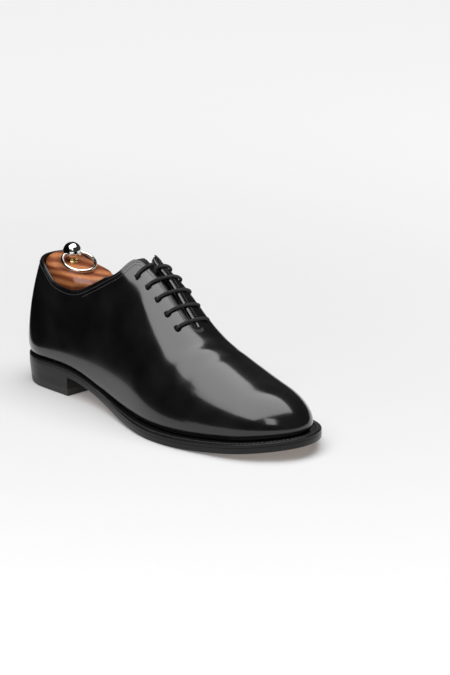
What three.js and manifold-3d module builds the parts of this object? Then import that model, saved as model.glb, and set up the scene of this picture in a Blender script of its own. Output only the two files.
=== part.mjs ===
// A right-foot wholecut oxford shoe, kept on its spring-loaded cedar shoe tree.
// Millimetres, +Z up, +X from heel to toe, +Y towards the medial side of the foot.
// Every leather layer is an offset of one last surface, and every bottom piece follows one sole line.
import * as THREE from "three";
import { mergeVertices } from "three/addons/utils/BufferGeometryUtils.js";
import Module from "manifold-3d";

const wasm = await Module();
wasm.setup();

// ---------------------------------------------------------------- driving sizes
const LAST_LENGTH = 296;
const HEEL_WIDTH = 64;
const WAIST_WIDTH = 66;
const BALL_WIDTH = 94;
const TOE_WIDTH = 66;
const BACK_HEIGHT = 82; // upper's back above the feather edge
const BACK_LEAN = 7; // how far the back of the heel curves forward at its top
const BACK_BULGE = 0.8; // and how far it swells out below
const ANKLE_HEIGHT = 62; // lowest point of the top line above the feather edge
const INSTEP_HEIGHT = 106; // ridge above the feather edge at the top eyelets
const TOE_HEIGHT = 31; // toe box above the feather edge
const HEEL_HEIGHT = 16.5; // ground to the outsole at the back
const HEEL_LENGTH = 70;
const TOE_SPRING = 10;
const CLEARANCE = 0.3; // between pieces that touch
const FACET_SLACK = 0.9; // how far a flat facet of a leather layer cuts inside the true curve

const UPPER_THICK = 1.3;
const STIFFENER_THICK = 0.9;
const LINING_THICK = 0.8;
const TONGUE_THICK = 1.4;
const OUTSOLE_THICK = 4.5;
const WELT_THICK = 2.5;
const INSOLE_THICK = 2.5;
const SOCK_THICK = 1.2;
const SHANK_THICK = 1.2;
const SHANK_WIDTH = 15;
const TOP_PIECE_THICK = 6;
const HEEL_TAPER = 0.09; // how far the heel's wall leans in for each millimetre down

const TUCK = 3.6; // how far the feather edge lies inside the widest line of the upper
const TUCK_HEIGHT = 4;
const LASTING_MARGIN = 11; // leather turned in under the insole
const FACING_TOP = 0.425; // share of the length where the facings end at the top
const THROAT = 0.632; // share of the length where the facings meet
const GAP_TOP = 4.6; // half the gap between the facings, at the top and at the throat
const GAP_THROAT = 1.3;
const FACING_CORNER = 6; // radius of each facing's top corner

const LACE_RADIUS = 1.25;
const EYELET_RADIUS = 1.9;
const EYELET_PAIRS = 5;
const EYELET_INSET = 14.6; // eyelet's centre from the facing's edge
const AGLET_LENGTH = 20;

const NAIL_RADIUS = 1;
const TREE_CLEARANCE = 1.7; // cedar to lining
const RING_RADIUS = 13.4; // centre line of the pull ring
const RING_WIRE = 1.3;
const BALL_RADIUS = 7.5;
const NECK_RADIUS = 4.4;
const NECK_LENGTH = 4.2; // from the flange to the underside of the ball
const TUBE_RADIUS = 4;
const TUBE_SPACING = 18;
const TUBE_WALL = 0.7;
const HEEL_TRAVEL = 10; // how far the tree's heel block slides forward against its springs

const EVEN_STATIONS = 27; // grid lines from the back of the heel to the toe, on each side
const ROWS = 9; // grid rows from the feather edge up
const OUTLINE_STATIONS = 34; // grid lines of the sole's pieces, on each side
const MEDIAL = 1;
const LATERAL = -1;
const SIDES = [LATERAL, MEDIAL];

// ---------------------------------------------------------------- layer depths below the upper's outside
const STIFFENER_DEPTH = UPPER_THICK + CLEARANCE;
const LINING_DEPTH = STIFFENER_DEPTH + STIFFENER_THICK + CLEARANCE;
const CAVITY_DEPTH = LINING_DEPTH + LINING_THICK;
const LACE_DEPTH = CAVITY_DEPTH + CLEARANCE + FACET_SLACK + LACE_RADIUS;
const TONGUE_DEPTH = LACE_DEPTH + LACE_RADIUS + CLEARANCE + FACET_SLACK / 2;

// ---------------------------------------------------------------- curves
// A natural cubic through [x, y] points, straight beyond its ends.
function spline(points) {
  const last = points.length - 1;
  const bend = points.map(() => 0);
  const carry = points.map(() => 0);
  const slope = (i) => (points[i + 1][1] - points[i][1]) / (points[i + 1][0] - points[i][0]);
  for (let i = 1; i < last; i++) {
    const span = points[i + 1][0] - points[i - 1][0];
    const share = (points[i][0] - points[i - 1][0]) / span;
    const pivot = share * bend[i - 1] + 2;
    bend[i] = (share - 1) / pivot;
    carry[i] = ((6 * (slope(i) - slope(i - 1))) / span - share * carry[i - 1]) / pivot;
  }
  for (let i = last - 1; i >= 0; i--) bend[i] = bend[i] * bend[i + 1] + carry[i];
  return (x) => {
    const inside = Math.min(Math.max(x, points[0][0]), points[last][0]);
    let i = 0;
    while (i < last - 1 && inside > points[i + 1][0]) i++;
    const width = points[i + 1][0] - points[i][0];
    const far = (inside - points[i][0]) / width;
    const near = 1 - far;
    const cubic = (near ** 3 - near) * bend[i] + (far ** 3 - far) * bend[i + 1];
    const value = near * points[i][1] + far * points[i + 1][1] + (cubic * width ** 2) / 6;
    return value + (x - inside) * slope(i);
  };
}

const alongLast = (points) => {
  const curve = spline(points);
  return (x) => curve(x / LAST_LENGTH);
};

// Half widths of the upper's widest line, before its two ends are rounded.
const halfWidths = {
  [LATERAL]: alongLast([
    [0, 0.47 * HEEL_WIDTH],
    [0.12, 0.5 * HEEL_WIDTH],
    [0.24, 0.51 * HEEL_WIDTH],
    [0.38, 0.54 * WAIST_WIDTH],
    [0.52, 0.46 * BALL_WIDTH],
    [0.64, 0.52 * BALL_WIDTH],
    [0.74, 0.5 * BALL_WIDTH],
    [0.84, 0.43 * BALL_WIDTH],
    [0.92, 0.52 * TOE_WIDTH],
    [1, 0.42 * TOE_WIDTH],
  ]),
  [MEDIAL]: alongLast([
    [0, 0.46 * HEEL_WIDTH],
    [0.12, 0.49 * HEEL_WIDTH],
    [0.24, 0.49 * HEEL_WIDTH],
    [0.38, 0.44 * WAIST_WIDTH],
    [0.52, 0.36 * BALL_WIDTH],
    [0.66, 0.455 * BALL_WIDTH],
    [0.74, 0.475 * BALL_WIDTH],
    [0.84, 0.435 * BALL_WIDTH],
    [0.92, 0.53 * TOE_WIDTH],
    [1, 0.43 * TOE_WIDTH],
  ]),
};
const centreLine = alongLast([
  [0, 0],
  [0.35, 0],
  [0.6, 0],
  [0.8, 1.5],
  [1, 5],
]);
// How far the ridge stands towards the medial side of the centre line.
const ridgeShift = alongLast([
  [0, 0],
  [0.2, 1],
  [0.35, 4],
  [0.42, 5],
  [0.5, 4.8],
  [0.58, 2],
  [0.64, 0.6],
  [0.75, 0.5],
  [1, 0],
]);
const HEEL_ROUND = 36;
const TOE_ROUND = 40;
const ROUND_POWER = 2.15;

function endRounding(x) {
  const corner = (distance, round) => {
    const left = Math.min(Math.max(1 - distance / round, 0), 1);
    return (1 - left ** ROUND_POWER) ** (1 / ROUND_POWER);
  };
  return corner(x, HEEL_ROUND) * corner(LAST_LENGTH - x, TOE_ROUND);
}

const halfWidth = (side, x) => halfWidths[side](x) * endRounding(x);

// Height of the outsole's underside: heel seat, arch, tread, toe spring.
const soleUnder = alongLast([
  [0, HEEL_HEIGHT],
  [0.12, HEEL_HEIGHT],
  [0.24, 0.98 * HEEL_HEIGHT],
  [0.36, 0.6 * HEEL_HEIGHT],
  [0.48, 0.19 * HEEL_HEIGHT],
  [0.6, 0.25],
  [0.68, 0.05],
  [0.78, 0.1 * TOE_SPRING],
  [0.9, 0.45 * TOE_SPRING],
  [1.02, TOE_SPRING],
]);
const soleTop = (x) => soleUnder(x) + OUTSOLE_THICK;
const weltUnder = (x) => soleTop(x) + CLEARANCE;
const feather = (x) => weltUnder(x) + WELT_THICK + CLEARANCE;
const insoleUnder = (x) => feather(x) + CAVITY_DEPTH + CLEARANCE;
const insoleTop = (x) => insoleUnder(x) + INSOLE_THICK;

// Height of the last's ridge above the feather edge, closed over the ankle too, and the section's fullness.
const ridgeHeight = alongLast([
  [0, 1.13 * INSTEP_HEIGHT],
  [0.2, 1.16 * INSTEP_HEIGHT],
  [0.35, 1.145 * INSTEP_HEIGHT],
  [0.42, INSTEP_HEIGHT],
  [0.5, 0.89 * INSTEP_HEIGHT],
  [0.58, 0.745 * INSTEP_HEIGHT],
  [0.66, 0.595 * INSTEP_HEIGHT],
  [0.74, 1.68 * TOE_HEIGHT],
  [0.82, 1.33 * TOE_HEIGHT],
  [0.9, 1.02 * TOE_HEIGHT],
  [0.96, 0.84 * TOE_HEIGHT],
  [1, 0.7 * TOE_HEIGHT],
]);
const crownPower = alongLast([
  [0, 2],
  [0.2, 2.1],
  [0.35, 2.8],
  [0.45, 3.1],
  [0.5, 3.1],
  [0.58, 2.65],
  [0.7, 2.4],
  [0.85, 2.5],
  [1, 2.6],
]);
const medialFullness = alongLast([
  [0, 0],
  [0.2, 0],
  [0.35, 0.2],
  [0.45, 0.5],
  [0.5, 0.5],
  [0.58, 0.55],
  [0.7, 0.2],
  [0.85, 0],
  [1, 0],
]);
const crown = (side, x, spine) =>
  crownPower(spine) + (side === MEDIAL ? medialFullness(spine) * endRounding(x) : 0);
const wallPower = alongLast([
  [0, 1.8],
  [0.2, 1.9],
  [0.35, 2],
  [0.5, 1.9],
  [0.6, 1.8],
  [0.75, 1.8],
  [0.9, 2.1],
  [1, 2.2],
]);
// Height of the top line above the feather edge, from the back seam to the facings.
const topLine = alongLast([
  [0, BACK_HEIGHT],
  [0.06, 0.88 * BACK_HEIGHT + 0.12 * ANKLE_HEIGHT],
  [0.12, 0.6 * BACK_HEIGHT + 0.4 * ANKLE_HEIGHT],
  [0.16, ANKLE_HEIGHT + 3.5],
  [0.2, ANKLE_HEIGHT + 0.5],
  [0.235, ANKLE_HEIGHT + 0.3],
  [0.27, ANKLE_HEIGHT + 3],
  [0.3, ANKLE_HEIGHT + 8],
  [0.33, ANKLE_HEIGHT + 14.5],
  [0.36, ANKLE_HEIGHT + 21.5],
  [0.39, ANKLE_HEIGHT + 29],
  [0.41, ANKLE_HEIGHT + 36],
  [0.425, ANKLE_HEIGHT + 48],
]);
const between = (value, low, high) => Math.min(Math.max(value, low), high);
const halfGap = (x) => {
  const share = (x / LAST_LENGTH - FACING_TOP) / (THROAT - FACING_TOP);
  const inCorner = between(1 - (x - FACING_TOP * LAST_LENGTH) / FACING_CORNER, 0, 1);
  const corner = FACING_CORNER * (1 - Math.sqrt(1 - inCorner ** 2));
  return GAP_TOP + (GAP_THROAT - GAP_TOP) * between(share, 0, 1) + corner;
};

// The sections fan out from the ends of this spine at the heel and the toe.
const SPINE_HEEL = 37;
const SPINE_TOE = LAST_LENGTH - 34;
const SPINE_SOFTNESS = 9;
const SHIFT_POWER = 1.5; // the section leans mostly in its upper part
const softStep = (d) => (d + Math.sqrt(d * d + SPINE_SOFTNESS ** 2)) / 2;
const spineX = (x) => {
  const held = SPINE_HEEL + softStep(x - SPINE_HEEL);
  return SPINE_TOE - softStep(SPINE_TOE - held);
};

// Even steps along the last, closer together at the two rounded ends.
const END_SHARE = 0.2;
function stationX(share) {
  const pace = 1 / (1 - END_SHARE);
  if (share < END_SHARE) return (LAST_LENGTH * pace * share ** 2) / (2 * END_SHARE);
  if (share > 1 - END_SHARE) return LAST_LENGTH - stationX(1 - share);
  return LAST_LENGTH * pace * (share - END_SHARE / 2);
}

// A point of the last surface. angle runs from 0 at the feather edge to a right angle on the ridge.
function lastPoint(side, x, angle) {
  const spine = spineX(x);
  const centreY = centreLine(spine);
  const toEdge = new THREE.Vector2(x - spine, centreLine(x) + side * halfWidth(side, x) - centreY);
  const reach = Math.cos(angle) < 1e-9 ? 0 : Math.cos(angle) ** (2 / crown(side, x, spine));
  const rise = Math.sin(angle) ** (2 / wallPower(spine));
  const height = ridgeHeight(spine) * rise;
  const tuck = TUCK * Math.exp(-height / TUCK_HEIGHT);
  const atBack = Math.max(0, 1 - x / SPINE_HEEL) ** 2;
  const sway = atBack * (BACK_LEAN * (height / BACK_HEIGHT) ** 2 - BACK_BULGE);
  const share = reach === 0 ? 0 : reach - (tuck + sway) / toEdge.length();
  const px = spine + toEdge.x * share;
  const py = centreY + toEdge.y * share + ridgeShift(spine) * rise ** SHIFT_POWER;
  return new THREE.Vector3(px, py, feather(px) + ridgeHeight(px) * rise);
}

const spineY = (x) => centreLine(spineX(x));
const ridgeY = (x) => spineY(x) + ridgeShift(spineX(x));

// The angle at which a section meets the top line, the facing's edge or the ridge, whichever is first.
function topAngle(side, x) {
  const past = (angle) => {
    const p = lastPoint(side, x, angle);
    const overTopLine = p.z - feather(p.x) > topLine(p.x);
    const laced = x > (FACING_TOP * LAST_LENGTH) / 2 && p.x < THROAT * LAST_LENGTH;
    const inGap = laced && Math.abs(p.y - ridgeY(x)) < halfGap(p.x);
    return overTopLine || inGap;
  };
  let low = 0;
  let high = Math.PI / 2;
  if (!past(high - 1e-6)) return high;
  for (let n = 0; n < 40; n++) {
    const middle = (low + high) / 2;
    if (past(middle)) high = middle;
    else low = middle;
  }
  return low;
}

// ---------------------------------------------------------------- the grid that every leather layer shares
// Its stations are even steps, and exact ones at the facings' top and at the throat.
const FACING_FILL = 0.024;
const marks = [-FACING_FILL / 2, 0, FACING_FILL].map((step) => (FACING_TOP + step) * LAST_LENGTH);
marks.push(THROAT * LAST_LENGTH);
const evenStations = Array.from({ length: EVEN_STATIONS + 1 }, (_, n) => stationX(n / EVEN_STATIONS));
const free = evenStations.filter((x) => marks.every((mark) => Math.abs(mark - x) > 3.5));
const stations = [...free, ...marks].sort((a, b) => a - b);
const STATIONS = stations.length - 1;
const stationOf = (share) => {
  const gaps = stations.map((x) => Math.abs(x - share * LAST_LENGTH));
  return gaps.indexOf(Math.min(...gaps));
};

// Row -1 is the lasting margin, row 0 the feather edge and row ROWS the top.
function gridUpTo(topOf) {
  const columns = { [LATERAL]: [], [MEDIAL]: [] };
  for (const side of SIDES) {
    for (let i = 0; i <= STATIONS; i++) {
      const x = stations[i];
      const column = [];
      for (let k = 0; k <= ROWS; k++) column[k] = lastPoint(side, x, (topOf(side, x) * k) / ROWS);
      const edge = new THREE.Vector2(column[0].x, column[0].y);
      const inward = new THREE.Vector2(spineX(x), spineY(x)).sub(edge).setLength(LASTING_MARGIN);
      const margin = edge.add(inward);
      column[-1] = new THREE.Vector3(margin.x, margin.y, feather(margin.x));
      columns[side][i] = column;
    }
  }
  return columns;
}
const grid = gridUpTo(topAngle);
const wholeLast = gridUpTo(() => Math.PI / 2);

// ---------------------------------------------------------------- meshes
// Points that are shared where they coincide, and the triangles between them.
class Skin {
  constructor() {
    this.points = [];
    this.faces = [];
    this.keys = new Map();
  }
  add(point, tag) {
    const key = [point.x, point.y, point.z].map((v) => Math.round(v * 1e4)).join();
    if (!this.keys.has(key)) {
      this.keys.set(key, this.points.length);
      this.points.push({ at: point.clone(), tag });
    }
    return this.keys.get(key);
  }
  face(a, b, c) {
    if (a !== b && b !== c && a !== c) this.faces.push([a, b, c]);
  }
  quad(a, b, c, d) {
    this.face(a, b, c);
    this.face(a, c, d);
  }
  normal([a, b, c]) {
    const [p, q, r] = [a, b, c].map((i) => this.points[i].at);
    return q.clone().sub(p).cross(r.clone().sub(p));
  }
  // Unit normals, lengthened at a corner so that an offset keeps its thickness on both sides of it.
  offsets() {
    const sums = this.points.map(() => new THREE.Vector3());
    for (const f of this.faces) for (const i of f) sums[i].add(this.normal(f));
    sums.forEach((s) => s.normalize());
    const least = this.points.map(() => 1);
    for (const f of this.faces) {
      const unit = this.normal(f).normalize();
      for (const i of f) least[i] = Math.min(least[i], unit.dot(sums[i]));
    }
    return sums.map((s, i) => s.divideScalar(Math.max(least[i], 0.65)));
  }
  boundary() {
    const directed = new Set(this.faces.flatMap(([a, b, c]) => [`${a},${b}`, `${b},${c}`, `${c},${a}`]));
    const open = [...directed].filter((e) => !directed.has(e.split(",").reverse().join()));
    return open.map((e) => e.split(",").map(Number));
  }
}

function geometryOf(points, faces) {
  const geometry = new THREE.BufferGeometry();
  const flat = points.flatMap((p) => [p.x, p.y, p.z]);
  geometry.setAttribute("position", new THREE.Float32BufferAttribute(flat, 3));
  geometry.setIndex(faces.flat());
  return geometry;
}

// The part of the grid between two stations and two rows, as an open skin that faces out.
function patch({ of = grid, sides = SIDES, from = 0, to = STATIONS, low = 0, high = ROWS }) {
  const skin = new Skin();
  for (const side of sides) {
    for (let i = from; i < to; i++) {
      for (let k = low; k < high; k++) {
        const corners = [[i, k], [i + 1, k], [i + 1, k + 1], [i, k + 1]];
        if (side === MEDIAL) corners.reverse();
        skin.quad(...corners.map(([n, row]) => skin.add(of[side][n][row], { side, i: n, k: row })));
      }
    }
  }
  return skin;
}

// Every layer that is cut from the grid shares the offsets of the whole upper, so that all of them nest.
const wholeUpper = patch({ low: -1 });
const upperOffsets = wholeUpper.offsets();
const sharedOffsets = (skin) => skin.points.map((p) => upperOffsets[wholeUpper.add(p.at)]);

// A closed layer between two depths below a skin. A depth is a number or a function of the point's tag.
function layer(skin, near, far, offsets = sharedOffsets(skin)) {
  const depth = (value, p) => (typeof value === "function" ? value(p.tag, p.at) : value);
  const sunk = (value) =>
    skin.points.map((p, i) => p.at.clone().addScaledVector(offsets[i], -depth(value, p)));
  const count = skin.points.length;
  const faces = [...skin.faces, ...skin.faces.map(([a, b, c]) => [c + count, b + count, a + count])];
  for (const [a, b] of skin.boundary()) {
    faces.push([b, a, a + count], [b, a + count, b + count]);
  }
  return geometryOf([...sunk(near), ...sunk(far)], faces);
}

// The whole inside of the last at one depth, closed over the ankle and along the bottom.
function lastSolid(depth) {
  const skin = patch({ of: wholeLast });
  const offsets = skin.offsets();
  const edge = (side, i) => skin.add(wholeLast[side][i][0]);
  for (let i = 0; i < STATIONS; i++) {
    skin.quad(edge(LATERAL, i), edge(MEDIAL, i), edge(MEDIAL, i + 1), edge(LATERAL, i + 1));
  }
  const points = skin.points.map((p, i) => p.at.clone().addScaledVector(offsets[i], -depth));
  return geometryOf(points, skin.faces);
}

// The widest line of the upper, moved out along its own normal.
function outlinePoint(side, x, grow) {
  const at = (v) => new THREE.Vector2(v, centreLine(v) + side * halfWidth(side, v));
  const here = at(x);
  if (x <= 0) return here.setX(-grow);
  if (x >= LAST_LENGTH) return here.setX(LAST_LENGTH + grow);
  const step = Math.min(0.5, x / 2, (LAST_LENGTH - x) / 2);
  const along = at(x + step).sub(at(x - step)).normalize();
  return here.add(new THREE.Vector2(-along.y, along.x).multiplyScalar(side * grow));
}

// A flat-sided piece of the bottom, between two heights: the outline grown by growUnder below
// and by growTop above.
function slab(growUnder, growTop, under, top) {
  const skin = new Skin();
  const corner = (side, i, level) => {
    const x = stationX(i / OUTLINE_STATIONS);
    const p = outlinePoint(side, x, (level === 0 ? growUnder : growTop)(side, x));
    if (i === 0 || i === OUTLINE_STATIONS) p.setY(centreLine(x));
    return skin.add(new THREE.Vector3(p.x, p.y, (level === 0 ? under : top)(p.x)));
  };
  for (let i = 0; i < OUTLINE_STATIONS; i++) {
    const next = i + 1;
    skin.quad(corner(LATERAL, i, 1), corner(LATERAL, next, 1), corner(MEDIAL, next, 1), corner(MEDIAL, i, 1));
    skin.quad(corner(MEDIAL, i, 0), corner(MEDIAL, next, 0), corner(LATERAL, next, 0), corner(LATERAL, i, 0));
    const outside = [corner(LATERAL, i, 0), corner(LATERAL, next, 0), corner(LATERAL, next, 1)];
    skin.quad(...outside, corner(LATERAL, i, 1));
    skin.quad(corner(MEDIAL, i + 1, 0), corner(MEDIAL, i, 0), corner(MEDIAL, i, 1), corner(MEDIAL, i + 1, 1));
  }
  return geometryOf(skin.points.map((p) => p.at), skin.faces);
}

const inset = (amount) => () => -amount;

// ---------------------------------------------------------------- cutting and joining
function solid(geometry) {
  const plain = geometry.index ? geometry.toNonIndexed() : geometry.clone();
  for (const name of Object.keys(plain.attributes)) if (name !== "position") plain.deleteAttribute(name);
  const merged = mergeVertices(plain, 1e-4);
  return new wasm.Manifold(
    new wasm.Mesh({
      numProp: 3,
      vertProperties: merged.attributes.position.array,
      triVerts: new Uint32Array(merged.index.array),
    }),
  );
}

function geometryFrom(manifold) {
  const mesh = manifold.getMesh();
  const geometry = new THREE.BufferGeometry();
  geometry.setAttribute("position", new THREE.BufferAttribute(mesh.vertProperties, 3));
  geometry.setIndex(new THREE.BufferAttribute(mesh.triVerts, 1));
  return geometry;
}

const cut = (body, ...tools) => tools.reduce((left, tool) => left.subtract(tool), body);

function block(lowX, highX, lowY, highY, lowZ, highZ) {
  const box = new THREE.BoxGeometry(highX - lowX, highY - lowY, highZ - lowZ);
  return solid(box.translate((lowX + highX) / 2, (lowY + highY) / 2, (lowZ + highZ) / 2));
}

// A round bar between two points.
function bar(from, to, radius, sides = 16) {
  const along = to.clone().sub(from);
  const upright = new THREE.Vector3(0, 1, 0);
  const turn = new THREE.Quaternion().setFromUnitVectors(upright, along.clone().normalize());
  const rod = new THREE.CylinderGeometry(radius, radius, along.length(), sides);
  const middle = from.clone().add(to).multiplyScalar(0.5);
  return rod.applyQuaternion(turn).translate(middle.x, middle.y, middle.z);
}

// A path through points, in equal steps from one to the next.
class Route extends THREE.Curve {
  constructor(points) {
    super();
    this.points = points;
  }
  getPoint(t) {
    const last = this.points.length - 1;
    const i = Math.min(Math.max(Math.floor(t * last), 0), last - 1);
    return this.points[i].clone().lerp(this.points[i + 1], t * last - i);
  }
  getUtoTmapping(u) {
    return u;
  }
}

// A closed round tube along a path.
function tube(points, radius, sides) {
  const section = new THREE.Shape();
  section.absarc(0, 0, radius, 0, 2 * Math.PI);
  const steps = points.length - 1;
  const extrudePath = new Route(points);
  return new THREE.ExtrudeGeometry(section, { steps, curveSegments: sides / 2, extrudePath });
}

// A path with each sharp corner rounded, by a curve that starts and ends no further than cutBack from it.
function roundCorners(points, cutBack) {
  const path = [points[0]];
  for (let i = 1; i < points.length - 1; i++) {
    const [before, here, after] = [points[i - 1], points[i], points[i + 1]];
    const inward = before.clone().sub(here);
    const onward = after.clone().sub(here);
    const turn = Math.PI - inward.angleTo(onward);
    if (turn < 0.4) {
      path.push(here);
      continue;
    }
    const start = here.clone().add(inward.clone().setLength(Math.min(cutBack, inward.length() / 2)));
    const end = here.clone().add(onward.clone().setLength(Math.min(cutBack, onward.length() / 2)));
    path.push(...new THREE.QuadraticBezierCurve3(start, here, end).getPoints(turn > 0.9 ? 4 : 2));
  }
  path.push(points[points.length - 1]);
  return path;
}

// The turns of a spring between two points.
function coil(start, end, radius, turns) {
  const along = end.clone().sub(start).normalize();
  const across = new THREE.Vector3(0, 0, 1).cross(along).normalize();
  const over = along.clone().cross(across);
  const steps = Math.round(turns * 9);
  return Array.from({ length: steps + 1 }, (_, n) => {
    const turn = (2 * Math.PI * turns * n) / steps;
    const centre = start.clone().lerp(end, n / steps);
    centre.addScaledVector(across, radius * Math.cos(turn));
    return centre.addScaledVector(over, radius * Math.sin(turn));
  });
}

// A piece cut out along the length: one height line below and one above, between two widths.
function profile(fromX, toX, under, top, lowY, highY) {
  const steps = Math.max(2, Math.round((toX - fromX) / 10));
  const at = (n) => fromX + ((toX - fromX) * n) / steps;
  const shape = new THREE.Shape();
  shape.moveTo(fromX, under(fromX));
  for (let n = 1; n <= steps; n++) shape.lineTo(at(n), under(at(n)));
  for (let n = steps; n >= 0; n--) shape.lineTo(at(n), top(at(n)));
  const body = new THREE.ExtrudeGeometry(shape, { depth: highY - lowY, bevelEnabled: false });
  return solid(body.rotateX(Math.PI / 2).translate(0, highY, 0));
}

// A turned piece on a vertical axis, from [radius, height] points that start and end on the axis.
function turned(outline, sides) {
  const points = outline.map(([r, h]) => new THREE.Vector2(r, h));
  return new THREE.LatheGeometry(points, sides).rotateX(Math.PI / 2);
}

// ---------------------------------------------------------------- the assembly
const shoe = new THREE.Group();
const FINISHES = {
  calf: { color: 0x0b0b0c, roughness: 0.22, metalness: 0 },
  lining: { color: 0x3a2417, roughness: 0.7, metalness: 0 },
  board: { color: 0x9c7a55, roughness: 0.8, metalness: 0 },
  edge: { color: 0x111112, roughness: 0.4, metalness: 0 },
  cork: { color: 0xa9794a, roughness: 0.95, metalness: 0 },
  rubber: { color: 0x0c0c0c, roughness: 0.75, metalness: 0 },
  steel: { color: 0x9a9da0, roughness: 0.4, metalness: 1 },
  brass: { color: 0xd9b25a, roughness: 0.18, metalness: 1 },
  cord: { color: 0x0a0a0b, roughness: 0.6, metalness: 0 },
  cedar: { color: 0xb5632f, roughness: 0.55, metalness: 0 },
};

function place(name, finish, piece) {
  const geometry = piece.isBufferGeometry ? piece : geometryFrom(piece);
  const mesh = new THREE.Mesh(geometry, new THREE.MeshStandardMaterial(FINISHES[finish]));
  mesh.name = name;
  shoe.add(mesh);
}

// ---------------------------------------------------------------- eyelets
// The point beside the gap at a distance over the surface from the facing's edge, and the outward direction.
function facingPoint(side, x, fromEdge) {
  const edge = topAngle(side, x);
  let angle = edge;
  let walked = 0;
  let here = lastPoint(side, x, angle);
  const step = 0.002;
  while (walked < fromEdge) {
    angle -= step;
    const next = lastPoint(side, x, angle);
    walked += next.distanceTo(here);
    here = next;
  }
  const up = lastPoint(side, x, angle + step).sub(here);
  const forward = lastPoint(side, x + 0.5, angle).sub(lastPoint(side, x - 0.5, angle));
  const out = up.cross(forward).multiplyScalar(side).normalize();
  return { at: here, out };
}

const eyeletX = (n) => {
  const first = THROAT * LAST_LENGTH - 5;
  const last = FACING_TOP * LAST_LENGTH + 8.8;
  return first + ((last - first) * n) / (EYELET_PAIRS - 1);
};
const eyelets = { [LATERAL]: [], [MEDIAL]: [] };
for (const side of SIDES) {
  for (let n = 0; n < EYELET_PAIRS; n++) eyelets[side].push(facingPoint(side, eyeletX(n), EYELET_INSET));
}
const lifted = ({ at, out }, height) => at.clone().addScaledVector(out, height);
const punches = SIDES.flatMap((side) =>
  eyelets[side].map((e) => solid(bar(lifted(e, -TONGUE_DEPTH), lifted(e, 3), EYELET_RADIUS, 10))),
);

// ---------------------------------------------------------------- upper, stiffeners and linings
const facingStations = { from: stationOf(FACING_TOP), to: stationOf(THROAT) - 1 };
const QUARTER_END = 0.5;
const COUNTER_END = 0.24;
const PUFF_START = 0.83;

function wholecutUpper() {
  return cut(solid(layer(patch({ low: -1 }), 0, UPPER_THICK)), ...punches);
}

function fullLining() {
  const nearTop = ({ i, k }) => {
    if (i >= facingStations.from || k < ROWS - 2) return 1;
    return (ROWS - k) / 2;
  };
  const near = (tag) => STIFFENER_DEPTH + (LINING_DEPTH - STIFFENER_DEPTH) * nearTop(tag);
  const far = (tag) => near(tag) + LINING_THICK;
  return cut(solid(layer(patch({ low: -1 }), near, far)), ...punches);
}

const REACH = 2 * LAST_LENGTH; // wider than any piece, for cutting planes
const behind = (x) => block(-REACH, x, -REACH, REACH, -REACH, REACH);
const ahead = (x) => block(x, REACH, -REACH, REACH, -REACH, REACH);

function stay(side) {
  const low = ROWS - 3;
  const skin = patch({ sides: [side], from: facingStations.from, to: facingStations.to, low });
  const near = STIFFENER_DEPTH + CLEARANCE / 2;
  return cut(solid(layer(skin, near, near + STIFFENER_THICK - CLEARANCE / 2)), ...punches);
}

const lining = fullLining();
const quarterSeam = QUARTER_END * LAST_LENGTH;
const stiffened = (skin) => layer(skin, STIFFENER_DEPTH, STIFFENER_DEPTH + STIFFENER_THICK);
place("wholecut_upper", "calf", wholecutUpper());
place("quarter_lining", "lining", lining.intersect(behind(quarterSeam - CLEARANCE / 2)));
place("vamp_lining", "lining", lining.intersect(ahead(quarterSeam + CLEARANCE / 2)));
place("heel_counter", "board", stiffened(patch({ to: stationOf(COUNTER_END), high: ROWS - 3 })));
place("toe_puff", "board", stiffened(patch({ from: stationOf(PUFF_START) })));
place("eyelet_stay_lateral", "board", stay(LATERAL));
place("eyelet_stay_medial", "board", stay(MEDIAL));

// ---------------------------------------------------------------- top line binding
const BINDING_RADIUS = 1.05;
function topBinding() {
  const path = [];
  const centre = STIFFENER_DEPTH / 2 + LINING_THICK / 2;
  const add = (side, i) => {
    const edge = grid[side][i][ROWS];
    const up = edge.clone().sub(grid[side][i][ROWS - 1]).normalize();
    const out = upperOffsets[wholeUpper.add(edge)];
    const sunk = edge.clone().addScaledVector(out, -centre);
    path.push(sunk.addScaledVector(up, BINDING_RADIUS + 1.5 * CLEARANCE));
  };
  for (let i = facingStations.from - 2; i >= 0; i--) add(LATERAL, i);
  for (let i = 1; i < facingStations.from - 1; i++) add(MEDIAL, i);
  return tube(path, BINDING_RADIUS, 6);
}
place("topline_binding", "calf", topBinding());

// ---------------------------------------------------------------- tongue
const TONGUE_HALF = 21;
const TONGUE_START = FACING_TOP * LAST_LENGTH - 9;
const TONGUE_END = THROAT * LAST_LENGTH + 7;

// The last's surface beside the ridge at a place along the last.
function surfaceAt(x, fromRidge) {
  const side = fromRidge < 0 ? LATERAL : MEDIAL;
  const reach = Math.abs(fromRidge) / halfWidth(side, x);
  return lastPoint(side, x, Math.acos(reach ** (crown(side, x, spineX(x)) / 2)));
}

// A skin laid across the ridge between two places along the last.
function ridgeSkin(startX, endX, half, lengthSteps, crossSteps) {
  const skin = new Skin();
  const point = (i, j) =>
    surfaceAt(startX + ((endX - startX) * i) / lengthSteps, half * ((2 * j) / crossSteps - 1));
  for (let i = 0; i < lengthSteps; i++) {
    for (let j = 0; j < crossSteps; j++) {
      const corners = [[i, j], [i + 1, j], [i + 1, j + 1], [i, j + 1]];
      skin.quad(...corners.map(([a, b]) => skin.add(point(a, b), { along: a / lengthSteps })));
    }
  }
  return skin;
}

function tongue() {
  const skin = ridgeSkin(TONGUE_START, TONGUE_END, TONGUE_HALF, 12, 10);
  const sewn = TONGUE_DEPTH - CAVITY_DEPTH - 2 * CLEARANCE;
  const near = ({ along }) => TONGUE_DEPTH - sewn * Math.max(0, (along - 0.85) / 0.15);
  return layer(skin, near, (tag) => near(tag) + TONGUE_THICK, skin.offsets());
}
place("tongue", "calf", tongue());

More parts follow.
